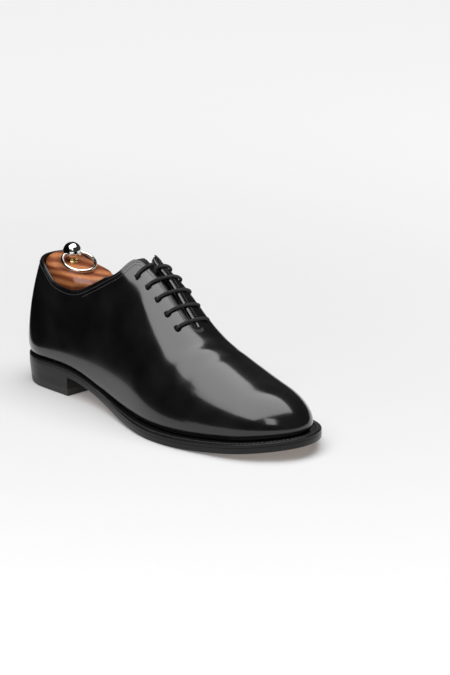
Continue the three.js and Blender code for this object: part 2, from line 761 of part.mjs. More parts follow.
// ---------------------------------------------------------------- lace
const BAR_HEIGHT = LACE_RADIUS + CLEARANCE;
const TOP_PAIR = EYELET_PAIRS - 1;
const STRAND_SPACING = 3.2; // the two strands that cross at the top eyelets
const RUN_SHIFT = 4.2; // the long run down the inside, beside the eyelets
const TAIL_SHIFT = 3.6; // the tucked ends lie behind the top eyelets
const TAIL_LENGTH = 54;
const LACE_BEND = 1.5;

const underFacing = (side, x, fromEdge) => lifted(facingPoint(side, x, fromEdge), -LACE_DEPTH);
const overFacing = (side, x, fromEdge) => lifted(facingPoint(side, x, fromEdge), BAR_HEIGHT);
const downHole = (side, n) => [lifted(eyelets[side][n], BAR_HEIGHT), lifted(eyelets[side][n], -LACE_DEPTH)];

function overGap(n, from) {
  const steps = [10, 5, 0];
  const start = steps.map((edge) => overFacing(from, eyeletX(n), edge));
  const end = steps.reverse().map((edge) => overFacing(-from, eyeletX(n), edge));
  return [...start, ...end];
}

// From a top eyelet over the gap, down inside it and along the lining on the other side.
function tuckedEnd(from, shift) {
  const x = eyeletX(TOP_PAIR);
  const inGap = (y, height) => {
    const p = surfaceAt(x + shift, -from * y);
    return p.setZ(p.z + height);
  };
  const over = [10, 5, 0].map((edge, n) => overFacing(from, x + (shift * (n + 1)) / 3, edge));
  const down = [inGap(0, 1.1), inGap(0.5, -0.8), inGap(0.5, -4), inGap(2, -LACE_DEPTH - 0.5)];
  const along = [6, 14, 22, 32, 43, TAIL_LENGTH].map((edge) => underFacing(-from, x - TAIL_SHIFT, edge));
  return [...over, ...down, ...along];
}

function lacePath() {
  const between = (n, m, share) => eyeletX(n) + (eyeletX(m) - eyeletX(n)) * share;
  const points = [...tuckedEnd(LATERAL, -STRAND_SPACING / 2).reverse(), ...downHole(LATERAL, TOP_PAIR)];
  for (const share of [0.12, 0.3, 0.5, 0.7, 0.88]) {
    points.push(underFacing(LATERAL, between(TOP_PAIR, 0, share), EYELET_INSET + RUN_SHIFT));
  }
  let side = LATERAL;
  for (let n = 0; n < TOP_PAIR; n++) {
    points.push(...downHole(side, n).reverse(), ...overGap(n, side), ...downHole(-side, n));
    side = -side;
    if (n < TOP_PAIR - 1) points.push(underFacing(side, between(n, n + 1, 0.5), EYELET_INSET));
  }
  const crossing = [0.2, 0.4, 0.6, 0.8];
  for (const share of side === LATERAL ? crossing : []) {
    const edge = Math.abs(share - 0.5) > 0.2 ? 7 : 0.5;
    points.push(underFacing(share < 0.5 ? LATERAL : MEDIAL, between(TOP_PAIR - 1, TOP_PAIR, share), edge));
  }
  points.push(...downHole(MEDIAL, TOP_PAIR).reverse(), ...tuckedEnd(MEDIAL, STRAND_SPACING / 2));
  return roundCorners(points, LACE_BEND);
}
place("shoelace", "cord", tube(lacePath(), LACE_RADIUS, 8));
for (const side of SIDES) {
  const x = eyeletX(TOP_PAIR) - TAIL_SHIFT;
  const at = (edge) => lifted(facingPoint(side, x, edge), -LACE_DEPTH - CLEARANCE);
  const aglet = bar(at(TAIL_LENGTH + 2 * CLEARANCE), at(TAIL_LENGTH + AGLET_LENGTH), LACE_RADIUS + 0.1, 8);
  place(side === LATERAL ? "lace_aglet_lateral" : "lace_aglet_medial", "cord", aglet);
}

// ---------------------------------------------------------------- insole, welt and sole
const MARGIN_EDGE = TUCK + LASTING_MARGIN;
const RIB_THICK = 2.2;
const SOCK_END = 82;
const SHANK_START = 50;
const SHANK_END = 150;
const FOREPART_START = SHANK_END + CLEARANCE;
const RIB_START = HEEL_LENGTH - 15;

// How far the sole stands out beyond the widest line of the upper.
const soleReach = {
  [LATERAL]: alongLast([
    [0, -0.5],
    [0.24, -0.7],
    [0.36, -1],
    [0.5, 2],
    [0.62, 4.5],
    [1, 5],
  ]),
  [MEDIAL]: alongLast([
    [0, -0.5],
    [0.24, -0.9],
    [0.36, -2.4],
    [0.5, -0.5],
    [0.62, 3.4],
    [1, 5],
  ]),
};
const soleGrow = (side, x) => soleReach[side](x);
const insideCore = (amount) => solid(slab(inset(amount), inset(amount), () => -REACH, () => REACH));
const ring = (outer, inner, under, top) => solid(slab(outer, outer, under, top)).subtract(insideCore(inner));

const weltBand = ring(soleGrow, MARGIN_EDGE, weltUnder, (x) => weltUnder(x) + WELT_THICK);
const RIB_EDGE = MARGIN_EDGE + 4 * CLEARANCE;
const underInsole = (x) => insoleUnder(x) - CLEARANCE;
const ribBand = ring(inset(RIB_EDGE), RIB_EDGE + RIB_THICK, weltUnder, underInsole);
const CORE_EDGE = RIB_EDGE + RIB_THICK + CLEARANCE;
const INSOLE_EDGE = TUCK + CAVITY_DEPTH + 6 * FACET_SLACK;
place("insole", "board", slab(inset(INSOLE_EDGE), inset(INSOLE_EDGE), insoleUnder, insoleTop));
place("insole_rib", "board", ribBand.intersect(ahead(RIB_START)));
const sockUnder = (x) => insoleTop(x) + CLEARANCE;
const SOCK_EDGE = INSOLE_EDGE + 1;
const sock = solid(slab(inset(SOCK_EDGE), inset(SOCK_EDGE), sockUnder, (x) => sockUnder(x) + SOCK_THICK));
place("sock_liner", "lining", sock.intersect(behind(SOCK_END)));
const shankUnder = (x) => weltUnder(x) + 1;
const shankTop = (x) => shankUnder(x) + SHANK_THICK;
const shankHalf = SHANK_WIDTH / 2;
place("shank", "steel", profile(SHANK_START, SHANK_END, shankUnder, shankTop, -shankHalf, shankHalf));
const filler = slab(inset(CORE_EDGE), inset(CORE_EDGE), weltUnder, (x) => insoleUnder(x) - CLEARANCE);
place("cork_filler", "cork", solid(filler).intersect(ahead(FOREPART_START)));
place("welt", "edge", weltBand.intersect(ahead(HEEL_LENGTH + CLEARANCE / 2)));
place("heel_rand", "edge", weltBand.intersect(behind(HEEL_LENGTH - CLEARANCE / 2)));

// ---------------------------------------------------------------- heel
const NAIL_CLEARANCE = 0.3;
const NAIL_RECESS = 0.5;
const NAIL_ENDS = 1.5; // below the outsole's top
const nailSpots = [
  [13, 0],
  [24, 16],
  [24, -16],
  [46, 19],
  [46, -19],
];
const nailAt = ([x, y], low, radius, sides) => {
  const top = soleTop(x) - NAIL_ENDS + radius - NAIL_RADIUS;
  return bar(new THREE.Vector3(x, y, low), new THREE.Vector3(x, y, top), radius, sides);
};
const nailHoles = nailSpots.map((spot) => solid(nailAt(spot, -1, NAIL_RADIUS + NAIL_CLEARANCE, 10)));

place("outsole", "edge", cut(solid(slab(soleGrow, soleGrow, soleUnder, soleTop)), ...nailHoles));

// The heel's wall leans in from the sole's edge towards the ground.
const heelGrow = (z) => (side, x) => soleReach[side](x) - HEEL_TAPER * (HEEL_HEIGHT - z);
const heelLevels = [TOP_PIECE_THICK, TOP_PIECE_THICK + (HEEL_HEIGHT - TOP_PIECE_THICK) / 2];
function heelLayer(under, top, topAt) {
  const body = solid(slab(heelGrow(under), heelGrow(top), () => under, topAt ?? (() => top)));
  return cut(body.intersect(behind(HEEL_LENGTH)), ...nailHoles);
}
const seat = (x) => soleUnder(x) - CLEARANCE;
place("heel_top_piece", "rubber", heelLayer(0, heelLevels[0]));
place("heel_lift_lower", "edge", heelLayer(heelLevels[0] + CLEARANCE, heelLevels[1]));
place("heel_lift_upper", "edge", heelLayer(heelLevels[1] + CLEARANCE, HEEL_HEIGHT, seat));
nailSpots.forEach((spot, n) => {
  place(`heel_nail_${n + 1}`, "brass", nailAt(spot, NAIL_RECESS, NAIL_RADIUS, 8));
});

// ---------------------------------------------------------------- cedar shoe tree
const TREE_DEPTH = CAVITY_DEPTH + TREE_CLEARANCE;
const treeFloor = (x) => insoleTop(x) + CLEARANCE + SOCK_THICK + TREE_CLEARANCE;
const HEEL_BLOCK_END = 77;
const HEEL_BLOCK_FRONT = 10; // half width of its flat front, between two bevelled corners
const INSTEP_START = 150;
const INSTEP_END = 188;
const TOE_START = INSTEP_END + 1;
const TOE_GAP = 5;
const TOE_SPLIT_Y = 1;
const PIN_X = TOE_START + 8;
const PIN_Y = 14;
const PIN_RADIUS = 2;
const PIN_CLEARANCE = 0.2;
const TENON_THICK = 8;
const TENON_Z = 34;
const PIN_TOP = TENON_Z + 14;
const TENON_HALF = 20;
const TENON_END = PIN_X + 7;
const SPRING_WIRE = 0.6;
const TOE_SPRING_X = 246;
const TOE_SPRING_Z = 31;
const TOE_SPRING_RADIUS = 3.4;
const TOE_SPRING_HALF = 11;
const TUBE_Z = 54;
const TUBE_START = 118;
const TUBE_END = 170;
const ROD_START = 50;
const ROD_END = 134;
const ROD_RADIUS = TUBE_RADIUS - TUBE_WALL - CLEARANCE;
const TREE_SLOPE = 0.26; // radians, the heel block's top falls towards the toe
const KNOB_X = 41.5;
const FLANGE_RADIUS = 5;
const FLANGE_THICK = 1.2;
const treeTop = feather(KNOB_X) + ANKLE_HEIGHT + 15.3; // at the knob
const knobSeat = treeTop - Math.tan(TREE_SLOPE) * (FLANGE_RADIUS + CLEARANCE);

const inside = lastSolid(TREE_DEPTH);
const below = profile(-50, LAST_LENGTH + 50, () => -REACH, treeFloor, -REACH, REACH);
const overTongue = ridgeSkin(TONGUE_START - 6, TONGUE_END + 6, TONGUE_HALF + 3, 10, 8);
const tongueRoom = layer(overTongue, -8, TONGUE_DEPTH + TONGUE_THICK + TREE_CLEARANCE, overTongue.offsets());
const cedar = cut(solid(inside), below, solid(tongueRoom));
const along = (fromX, toX, y, z, radius, sides) =>
  bar(new THREE.Vector3(fromX, y, z), new THREE.Vector3(toX, y, z), radius, sides);

function toeHalf(side) {
  const halfSpace =
    side === LATERAL
      ? block(TOE_START, REACH, -REACH, TOE_SPLIT_Y - TOE_GAP / 2, -REACH, REACH)
      : block(TOE_START, REACH, TOE_SPLIT_Y + TOE_GAP / 2, REACH, -REACH, REACH);
  const slot = CLEARANCE;
  const mortise = block(
    TOE_START - 1,
    TENON_END + 2,
    -TENON_HALF - 3,
    TENON_HALF + 3,
    TENON_Z - TENON_THICK / 2 - slot,
    TENON_Z + TENON_THICK / 2 + slot,
  );
  const pinRoom = PIN_RADIUS + PIN_CLEARANCE;
  const pinHole = bar(pinEnd(side, -REACH), pinEnd(side, PIN_TOP + CLEARANCE), pinRoom, 16);
  const centre = new THREE.Vector3(TOE_SPRING_X, TOE_SPLIT_Y, TOE_SPRING_Z);
  const reach = new THREE.Vector3(0, TOE_SPRING_HALF + CLEARANCE, 0);
  const pocketRadius = TOE_SPRING_RADIUS + SPRING_WIRE + CLEARANCE;
  const pocket = bar(centre.clone().sub(reach), centre.clone().add(reach), pocketRadius, 12);
  return cut(cedar.intersect(halfSpace), mortise, solid(pinHole), solid(pocket));
}
function pinEnd(side, z) {
  return new THREE.Vector3(PIN_X, side * PIN_Y, z);
}

function instepBlock() {
  const body = cedar.intersect(block(INSTEP_START, INSTEP_END, -REACH, REACH, -REACH, REACH));
  const tenon = block(
    INSTEP_END - 1,
    TENON_END,
    -TENON_HALF,
    TENON_HALF,
    TENON_Z - TENON_THICK / 2,
    TENON_Z + TENON_THICK / 2,
  );
  const pins = SIDES.map((side) =>
    solid(bar(pinEnd(side, 0), pinEnd(side, REACH), PIN_RADIUS + PIN_CLEARANCE, 16)),
  );
  const socketRadius = TUBE_RADIUS + CLEARANCE;
  const sockets = SIDES.map((side) => {
    const y = (side * TUBE_SPACING) / 2;
    return solid(along(INSTEP_START - 1, TUBE_END + CLEARANCE, y, TUBE_Z, socketRadius, 16));
  });
  return cut(body.add(tenon), ...pins, ...sockets);
}

function heelBlock() {
  const slid = cedar.translate([-HEEL_TRAVEL, 0, 0]);
  const body = cedar.intersect(slid).intersect(behind(HEEL_BLOCK_END));
  const sky = new THREE.BoxGeometry(REACH, REACH, REACH).translate(0, 0, REACH / 2);
  sky.rotateY(TREE_SLOPE).translate(KNOB_X, 0, treeTop);
  const seatAt = (z) => new THREE.Vector3(KNOB_X, 0, z);
  const spotFace = bar(seatAt(knobSeat), seatAt(REACH), FLANGE_RADIUS + CLEARANCE, 20);
  const sockets = SIDES.map((side) =>
    solid(along(ROD_START - CLEARANCE, REACH, (side * TUBE_SPACING) / 2, TUBE_Z, ROD_RADIUS + CLEARANCE, 16)),
  );
  const corners = SIDES.map((side) => {
    const reach = REACH / 2 / Math.SQRT2;
    const corner = new THREE.BoxGeometry(REACH, REACH, REACH).rotateZ(Math.PI / 4);
    return solid(corner.translate(HEEL_BLOCK_END + reach, side * (HEEL_BLOCK_FRONT + reach), 0));
  });
  return cut(body, solid(sky), solid(spotFace), ...sockets, ...corners);
}

place("tree_toe_lateral", "cedar", toeHalf(LATERAL));
place("tree_toe_medial", "cedar", toeHalf(MEDIAL));
place("tree_instep_block", "cedar", instepBlock());
place("tree_heel_block", "cedar", heelBlock());
for (const side of SIDES) {
  const name = side === LATERAL ? "lateral" : "medial";
  const y = (side * TUBE_SPACING) / 2;
  const pinFoot = treeFloor(PIN_X) + 1;
  place(`tree_pin_${name}`, "brass", bar(pinEnd(side, pinFoot), pinEnd(side, PIN_TOP), PIN_RADIUS, 16));
  const bore = solid(along(TUBE_START - 1, TUBE_END - 2, y, TUBE_Z, TUBE_RADIUS - TUBE_WALL, 16));
  const tubeBody = solid(along(TUBE_START, TUBE_END, y, TUBE_Z, TUBE_RADIUS, 16));
  place(`tree_tube_${name}`, "brass", tubeBody.subtract(bore));
  place(`tree_rod_${name}`, "steel", along(ROD_START, ROD_END, y, TUBE_Z, ROD_RADIUS, 16));
  const from = new THREE.Vector3(ROD_END + CLEARANCE + SPRING_WIRE, y, TUBE_Z);
  const to = new THREE.Vector3(TUBE_END - 2 - CLEARANCE - SPRING_WIRE, y, TUBE_Z);
  place(`tree_spring_${name}`, "steel", tube(coil(from, to, ROD_RADIUS - SPRING_WIRE, 7), SPRING_WIRE, 6));
}
const toeSpringEnd = (side) =>
  new THREE.Vector3(TOE_SPRING_X, TOE_SPLIT_Y + side * (TOE_SPRING_HALF - SPRING_WIRE), TOE_SPRING_Z);
const toeSpring = coil(toeSpringEnd(-1), toeSpringEnd(1), TOE_SPRING_RADIUS, 5);
place("tree_toe_spring", "steel", tube(toeSpring, SPRING_WIRE, 6));

// ---------------------------------------------------------------- knob and pull ring
const RING_LEAN = 0.405; // below level, resting on the cedar
const RING_AIM = -0.21; // turned from straight ahead
const EYE_DROP = 1.15; // below the middle of the ball
const BALL_CUT = 0.5; // radians below its middle where the ball meets the neck
const ballHeight = FLANGE_THICK + NECK_LENGTH + BALL_RADIUS * Math.sin(BALL_CUT);
const eyeHeight = ballHeight - EYE_DROP;

const EYE_RADIUS = RING_WIRE + 1.4;
const EYE_SHARE = 1.12; // the ring sits this far off the eye's middle, so that its curve clears the eye

const eye = new THREE.Vector3(KNOB_X, 0, knobSeat + CLEARANCE + eyeHeight);
const eyeAxis = new THREE.Vector3(0, 1, 0).applyAxisAngle(new THREE.Vector3(0, 0, 1), RING_AIM);

function knob() {
  const under = FLANGE_THICK + NECK_LENGTH;
  const outline = [[0, 0], [FLANGE_RADIUS, 0], [FLANGE_RADIUS, FLANGE_THICK]];
  outline.push([NECK_RADIUS, FLANGE_THICK + 0.7], [NECK_RADIUS, under - 1.6]);
  outline.push([NECK_RADIUS + 0.6, under - 1], [NECK_RADIUS + 0.6, under]);
  const steps = 8;
  for (let n = 0; n < steps; n++) {
    const angle = ((Math.PI / 2 + BALL_CUT) * n) / steps - BALL_CUT;
    outline.push([BALL_RADIUS * Math.cos(angle), ballHeight + BALL_RADIUS * Math.sin(angle)]);
  }
  outline.push([0, ballHeight + BALL_RADIUS]);
  const reach = eyeAxis.clone().multiplyScalar(10);
  const body = turned(outline, 20).translate(KNOB_X, 0, knobSeat + CLEARANCE);
  return cut(solid(body), solid(bar(eye.clone().sub(reach), eye.clone().add(reach), EYE_RADIUS, 16)));
}

function pullRing() {
  const torus = new THREE.TorusGeometry(RING_RADIUS, RING_WIRE, 8, 36);
  torus.translate(RING_RADIUS - EYE_SHARE, 0, 0);
  return torus.rotateY(RING_LEAN).rotateZ(RING_AIM).translate(eye.x, eye.y, eye.z);
}
place("tree_knob", "brass", knob());
place("tree_ring", "steel", pullRing());

// The part's origin is under the middle of its outer box, on the ground.
const box = new THREE.Box3().setFromObject(shoe);
const middle = box.getCenter(new THREE.Vector3());
shoe.position.set(-middle.x, -middle.y, -box.min.z);

export default shoe;
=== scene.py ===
import math
import bmesh
import bpy
import numpy as np
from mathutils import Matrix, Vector
from mathutils.bvhtree import BVHTree


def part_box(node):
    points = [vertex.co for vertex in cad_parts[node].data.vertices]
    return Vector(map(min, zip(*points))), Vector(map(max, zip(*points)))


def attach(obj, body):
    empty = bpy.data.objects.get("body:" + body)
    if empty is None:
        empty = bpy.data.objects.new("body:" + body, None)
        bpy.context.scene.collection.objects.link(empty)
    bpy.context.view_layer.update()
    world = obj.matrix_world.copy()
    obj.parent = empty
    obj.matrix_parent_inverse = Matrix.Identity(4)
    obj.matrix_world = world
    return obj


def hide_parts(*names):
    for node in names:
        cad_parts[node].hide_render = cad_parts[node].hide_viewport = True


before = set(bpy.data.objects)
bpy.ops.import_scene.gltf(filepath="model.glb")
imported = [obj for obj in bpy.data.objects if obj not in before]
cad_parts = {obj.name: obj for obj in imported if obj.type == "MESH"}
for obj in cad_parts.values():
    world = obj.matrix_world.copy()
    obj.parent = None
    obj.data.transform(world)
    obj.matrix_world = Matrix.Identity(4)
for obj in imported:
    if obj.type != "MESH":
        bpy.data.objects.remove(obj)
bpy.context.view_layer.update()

# ---------------------------------------------------------------- camera, light and table
# Product-table set-up: a white table that runs out of sight and dark surroundings, so that the polished calf
# mirrors the table low on its walls and the softboxes along its top and toe.
TARGET = Vector((0, 0, 0.05))
CAMERA_AZIMUTH = math.radians(46)
CAMERA_ELEVATION = math.radians(16.5)
CAMERA_DISTANCE = 1.4
CAMERA_RIGHT = 0.04805
CAMERA_UP = 0.0099
CAMERA_LENS = 96.84
TABLE_SIZE = 14
TABLE_COLOUR = (0.58, 0.58, 0.582, 1)
TABLE_WHITE = 0.86  # radiance of the table, all told
TABLE_LIT = 0.70  # the lamps' share of it under the shoe
LIT_REACH = 1.5  # metres over which that share falls to a quarter
SURROUND = 0.035

right = Vector((math.cos(CAMERA_AZIMUTH), math.sin(CAMERA_AZIMUTH), 0))
ahead = Vector((-math.sin(CAMERA_AZIMUTH), math.cos(CAMERA_AZIMUTH), 0)) * math.cos(CAMERA_ELEVATION)
ahead.z = -math.sin(CAMERA_ELEVATION)
up = right.cross(ahead)
camera = bpy.data.objects.new("camera", bpy.data.cameras.new("camera"))
camera.location = TARGET - ahead * CAMERA_DISTANCE + right * CAMERA_RIGHT + up * CAMERA_UP
camera.rotation_euler = ahead.to_track_quat("-Z", "Y").to_euler()
camera.data.lens = CAMERA_LENS
camera.data.clip_end = 50
bpy.context.scene.collection.objects.link(camera)
bpy.context.scene.camera = camera
bpy.context.scene.view_settings.view_transform = "Standard"


def new_material(name):
    """A material with its Principled shader, and a function that adds nodes and links them."""
    material = bpy.data.materials.new(name)
    material.use_nodes = True
    tree = material.node_tree
    shader = tree.nodes["Principled BSDF"]

    def node(kind, links=(), **settings):
        made = tree.nodes.new(kind)
        for key, value in settings.items():
            if hasattr(made, key):
                setattr(made, key, value)
            else:
                made.inputs[key.replace("_", " ")].default_value = value
        for source, socket in links:
            tree.links.new(source, made.inputs[socket])
        return made

    def into(source, socket):
        tree.links.new(source, shader.inputs[socket])

    return material, shader, node, into


def ramp(node, source, stops):
    made = node("ShaderNodeValToRGB", [(source, "Fac")])
    elements = made.color_ramp.elements
    while len(elements) < len(stops):
        elements.new(0.5)
    for element, (place, colour) in zip(elements, stops):
        element.position = place
        element.color = (*colour, 1)
    return made.outputs["Color"]


def bumped(node, into, height, strength, distance, normal=None):
    links = [(height, "Height")] + ([(normal, "Normal")] if normal else [])
    made = node("ShaderNodeBump", links, Strength=strength, Distance=distance)
    into(made.outputs["Normal"], "Normal")
    return made.outputs["Normal"]


def table_material():
    material, shader, node, into = new_material("white_table")
    shader.inputs["Base Color"].default_value = TABLE_COLOUR
    shader.inputs["Roughness"].default_value = 0.7
    shader.inputs["Specular IOR Level"].default_value = 0.2
    shader.inputs["Emission Color"].default_value = (1, 1, 1, 1)
    place = node("ShaderNodeTexCoord").outputs["Object"]
    away = node("ShaderNodeVectorMath", [(place, 0)], operation="LENGTH").outputs["Value"]

    def step(source, operation, amount):
        made = node("ShaderNodeMath", [(source, 0)], operation=operation)
        made.inputs[1].default_value = amount
        return made.outputs["Value"]

    # The table's own glow makes up for the lamps' fall-off, so that it is one even white out to its edge.
    squared = step(step(away, "DIVIDE", LIT_REACH), "POWER", 2)
    fall = step(step(squared, "ADD", 1), "POWER", -2)
    into(step(step(fall, "MULTIPLY", -TABLE_LIT), "ADD", TABLE_WHITE), "Emission Strength")
    return material


table_mesh = bpy.data.meshes.new("table")
half = TABLE_SIZE / 2
table_corners = [(-half, -half, 0), (half, -half, 0), (half, half, 0), (-half, half, 0)]
table_mesh.from_pydata(table_corners, [], [(0, 1, 2, 3)])
table_mesh.materials.append(table_material())
table = bpy.data.objects.new("table", table_mesh)
bpy.context.scene.collection.objects.link(table)

world = bpy.data.worlds.new("surroundings")
world.use_nodes = True
world.node_tree.nodes["Background"].inputs["Color"].default_value = (1, 1, 1, 1)
world.node_tree.nodes["Background"].inputs["Strength"].default_value = SURROUND
bpy.context.scene.world = world


def softbox(name, place, aim, size, power):
    lamp = bpy.data.lights.new(name, "AREA")
    lamp.shape = "RECTANGLE"
    lamp.size, lamp.size_y = size
    lamp.energy = power
    made = bpy.data.objects.new(name, lamp)
    made.location = place
    made.rotation_euler = (Vector(aim) - Vector(place)).to_track_quat("-Z", "Y").to_euler()
    bpy.context.scene.collection.objects.link(made)


softbox("overhead_softbox", (0.19, -0.42, 1.5), (0.19, -0.42, 0), (1.36, 2.8), 46)
softbox("toe_softbox", (0.95, -0.75, 0.95), (0.1, -0.02, 0.04), (0.35, 0.5), 2.2)


def black_flag(name, start, end, height):
    """A black card seen only in reflections, which keeps the table's white off the dark quarter."""
    mesh = bpy.data.meshes.new(name)
    corners = [(*start, 0), (*end, 0), (*end, height), (*start, height)]
    mesh.from_pydata(corners, [], [(0, 1, 2, 3)])
    material, shader, node, into = new_material(name)
    shader.inputs["Base Color"].default_value = (0.003, 0.003, 0.003, 1)
    shader.inputs["Specular IOR Level"].default_value = 0.0
    shader.inputs["Roughness"].default_value = 1.0
    mesh.materials.append(material)
    flag = bpy.data.objects.new(name, mesh)
    bpy.context.scene.collection.objects.link(flag)
    flag.visible_camera = flag.visible_diffuse = flag.visible_shadow = False


black_flag("quarter_flag", (-0.38, 0.10), (-0.01, -0.26), 0.30)

# ---------------------------------------------------------------- wholecut upper
# One piece of black box calf, lasted wet over the last and turned in under the insole. Its surface is
# the last's: sections that fan out round the heel and the toe, each between a tucked-in feather edge
# and the ridge.
MM = 0.001
LATERAL, MEDIAL = -1, 1
SIDES = (LATERAL, MEDIAL)
LAST_LENGTH = 296.0
HEEL_WIDTH, WAIST_WIDTH, BALL_WIDTH, TOE_WIDTH = 64.0, 66.0, 94.0, 66.0
BACK_HEIGHT, BACK_LEAN, BACK_BULGE = 82.0, 7.0, 0.8
ANKLE_HEIGHT, INSTEP_HEIGHT, TOE_HEIGHT = 62.0, 106.0, 31.0
HEEL_HEIGHT, TOE_SPRING = 16.5, 10.0
HEEL_ROUND, TOE_ROUND, ROUND_POWER = 36.0, 40.0, 2.15
SPINE_HEEL, SPINE_TOE, SPINE_SOFTNESS = 37.0, LAST_LENGTH - 34, 9.0
OUTSOLE_THICK, WELT_THICK, UPPER_THICK, LINING_THICK, STIFFENER_THICK = 4.5, 2.5, 1.3, 0.8, 0.9
CLEARANCE = 0.3
TUCK, TUCK_HEIGHT, LASTING_MARGIN, SHIFT_POWER = 3.6, 4.0, 11.0, 1.5
FACING_TOP, THROAT = 0.425, 0.632
GAP_TOP, GAP_THROAT, FACING_CORNER = 4.6, 1.3, 6.0
EYELET_RADIUS, EYELET_PAIRS, EYELET_INSET = 1.7, 5, 14.6
STIFFENER_DEPTH = UPPER_THICK + CLEARANCE
LINING_DEPTH = STIFFENER_DEPTH + STIFFENER_THICK + CLEARANCE
FIRST_NAIL_X = 13.0

nail_low, nail_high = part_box("heel_nail_1")
ORIGIN = np.array(
    [FIRST_NAIL_X - (nail_low.x + nail_high.x) / 2 / MM, -(nail_low.y + nail_high.y) / 2 / MM, 0]
)


def to_frame(points):
    """Millimetres from the back of the heel, as metres in the part's frame."""
    return (np.asarray(points, float) - ORIGIN) * MM


def along_last(points):
    """A natural cubic through (share of the length, value) points, straight beyond its ends."""
    x, y = np.array(points, float).T
    count, step = len(x), np.diff(x)
    slope = np.diff(y) / step
    system, wanted = np.eye(count), np.zeros(count)
    for i in range(1, count - 1):
        system[i, i - 1:i + 2] = step[i - 1], 2 * (step[i - 1] + step[i]), step[i]
        wanted[i] = 6 * (slope[i] - slope[i - 1])
    bend = np.linalg.solve(system, wanted)

    def value(distance):
        share = np.asarray(distance, float) / LAST_LENGTH
        held = np.clip(share, x[0], x[-1])
        i = np.clip(np.searchsorted(x, held, side="right") - 1, 0, count - 2)
        far = (held - x[i]) / step[i]
        near = 1 - far
        cubic = (near**3 - near) * bend[i] + (far**3 - far) * bend[i + 1]
        return near * y[i] + far * y[i + 1] + cubic * step[i] ** 2 / 6 + (share - held) * slope[i]

    return value


def scaled(size, points):
    return [(share, size * value) for share, value in points]


half_widths = {
    LATERAL: along_last(
        scaled(HEEL_WIDTH, [(0, 0.47), (0.12, 0.5), (0.24, 0.51)])
        + scaled(WAIST_WIDTH, [(0.38, 0.54)])
        + scaled(BALL_WIDTH, [(0.52, 0.46), (0.64, 0.52), (0.74, 0.5), (0.84, 0.43)])
        + scaled(TOE_WIDTH, [(0.92, 0.52), (1, 0.42)])
    ),
    MEDIAL: along_last(
        scaled(HEEL_WIDTH, [(0, 0.46), (0.12, 0.49), (0.24, 0.49)])
        + scaled(WAIST_WIDTH, [(0.38, 0.44)])
        + scaled(BALL_WIDTH, [(0.52, 0.36), (0.66, 0.455), (0.74, 0.475), (0.84, 0.435)])
        + scaled(TOE_WIDTH, [(0.92, 0.53), (1, 0.43)])
    ),
}
centre_line = along_last([(0, 0), (0.35, 0), (0.6, 0), (0.8, 1.5), (1, 5)])
ridge_shift = along_last(
    [(0, 0), (0.2, 1), (0.35, 4), (0.42, 5), (0.5, 4.8), (0.58, 2), (0.64, 0.6), (0.75, 0.5), (1, 0)]
)
sole_under = along_last(
    scaled(HEEL_HEIGHT, [(0, 1), (0.12, 1), (0.24, 0.98), (0.36, 0.6), (0.48, 0.19)])
    + [(0.6, 0.25), (0.68, 0.05)]
    + scaled(TOE_SPRING, [(0.78, 0.1), (0.9, 0.45), (1.02, 1)])
)
ridge_height = along_last(
    scaled(
        INSTEP_HEIGHT,
        [(0, 1.13), (0.2, 1.16), (0.35, 1.145), (0.42, 1), (0.5, 0.89), (0.58, 0.745), (0.66, 0.595)],
    )
    + scaled(TOE_HEIGHT, [(0.74, 1.68), (0.82, 1.33), (0.9, 1.02), (0.96, 0.84), (1, 0.7)])
)
crown_power = along_last(
    [(0, 2), (0.2, 2.1), (0.35, 2.8), (0.45, 3.1), (0.5, 3.1)]
    + [(0.58, 2.65), (0.7, 2.4), (0.85, 2.5), (1, 2.6)]
)
medial_fullness = along_last(
    [(0, 0), (0.2, 0), (0.35, 0.2), (0.45, 0.5), (0.5, 0.5), (0.58, 0.55), (0.7, 0.2), (0.85, 0), (1, 0)]
)
wall_power = along_last(
    [(0, 1.8), (0.2, 1.9), (0.35, 2), (0.5, 1.9), (0.6, 1.8), (0.75, 1.8), (0.9, 2.1), (1, 2.2)]
)
top_line = along_last(
    [
        (0, BACK_HEIGHT),
        (0.06, 0.88 * BACK_HEIGHT + 0.12 * ANKLE_HEIGHT),
        (0.12, 0.6 * BACK_HEIGHT + 0.4 * ANKLE_HEIGHT),
    ]
    + [
        (share, ANKLE_HEIGHT + rise)
        for share, rise in [
            (0.16, 3.5), (0.2, 0.5), (0.235, 0.3), (0.27, 3), (0.3, 8),
            (0.33, 14.5), (0.36, 21.5), (0.39, 29), (0.41, 36), (0.425, 48),
        ]
    ]
)


def sole_top(x):
    return sole_under(x) + OUTSOLE_THICK


def welt_under(x):
    return sole_top(x) + CLEARANCE


def feather(x):
    return welt_under(x) + WELT_THICK + CLEARANCE


def end_rounding(x):
    def corner(distance, radius):
        left = np.clip(1 - distance / radius, 0, 1)
        return (1 - left**ROUND_POWER) ** (1 / ROUND_POWER)

    return corner(x, HEEL_ROUND) * corner(LAST_LENGTH - x, TOE_ROUND)


def half_width(side, x):
    return half_widths[side](x) * end_rounding(x)


def half_gap(x):
    share = np.clip((x / LAST_LENGTH - FACING_TOP) / (THROAT - FACING_TOP), 0, 1)
    in_corner = np.clip(1 - (x - FACING_TOP * LAST_LENGTH) / FACING_CORNER, 0, 1)
    return GAP_TOP + (GAP_THROAT - GAP_TOP) * share + FACING_CORNER * (1 - np.sqrt(1 - in_corner**2))


def soft_step(d):
    return (d + np.sqrt(d * d + SPINE_SOFTNESS**2)) / 2


def spine_x(x):
    held = SPINE_HEEL + soft_step(x - SPINE_HEEL)
    return SPINE_TOE - soft_step(SPINE_TOE - held)


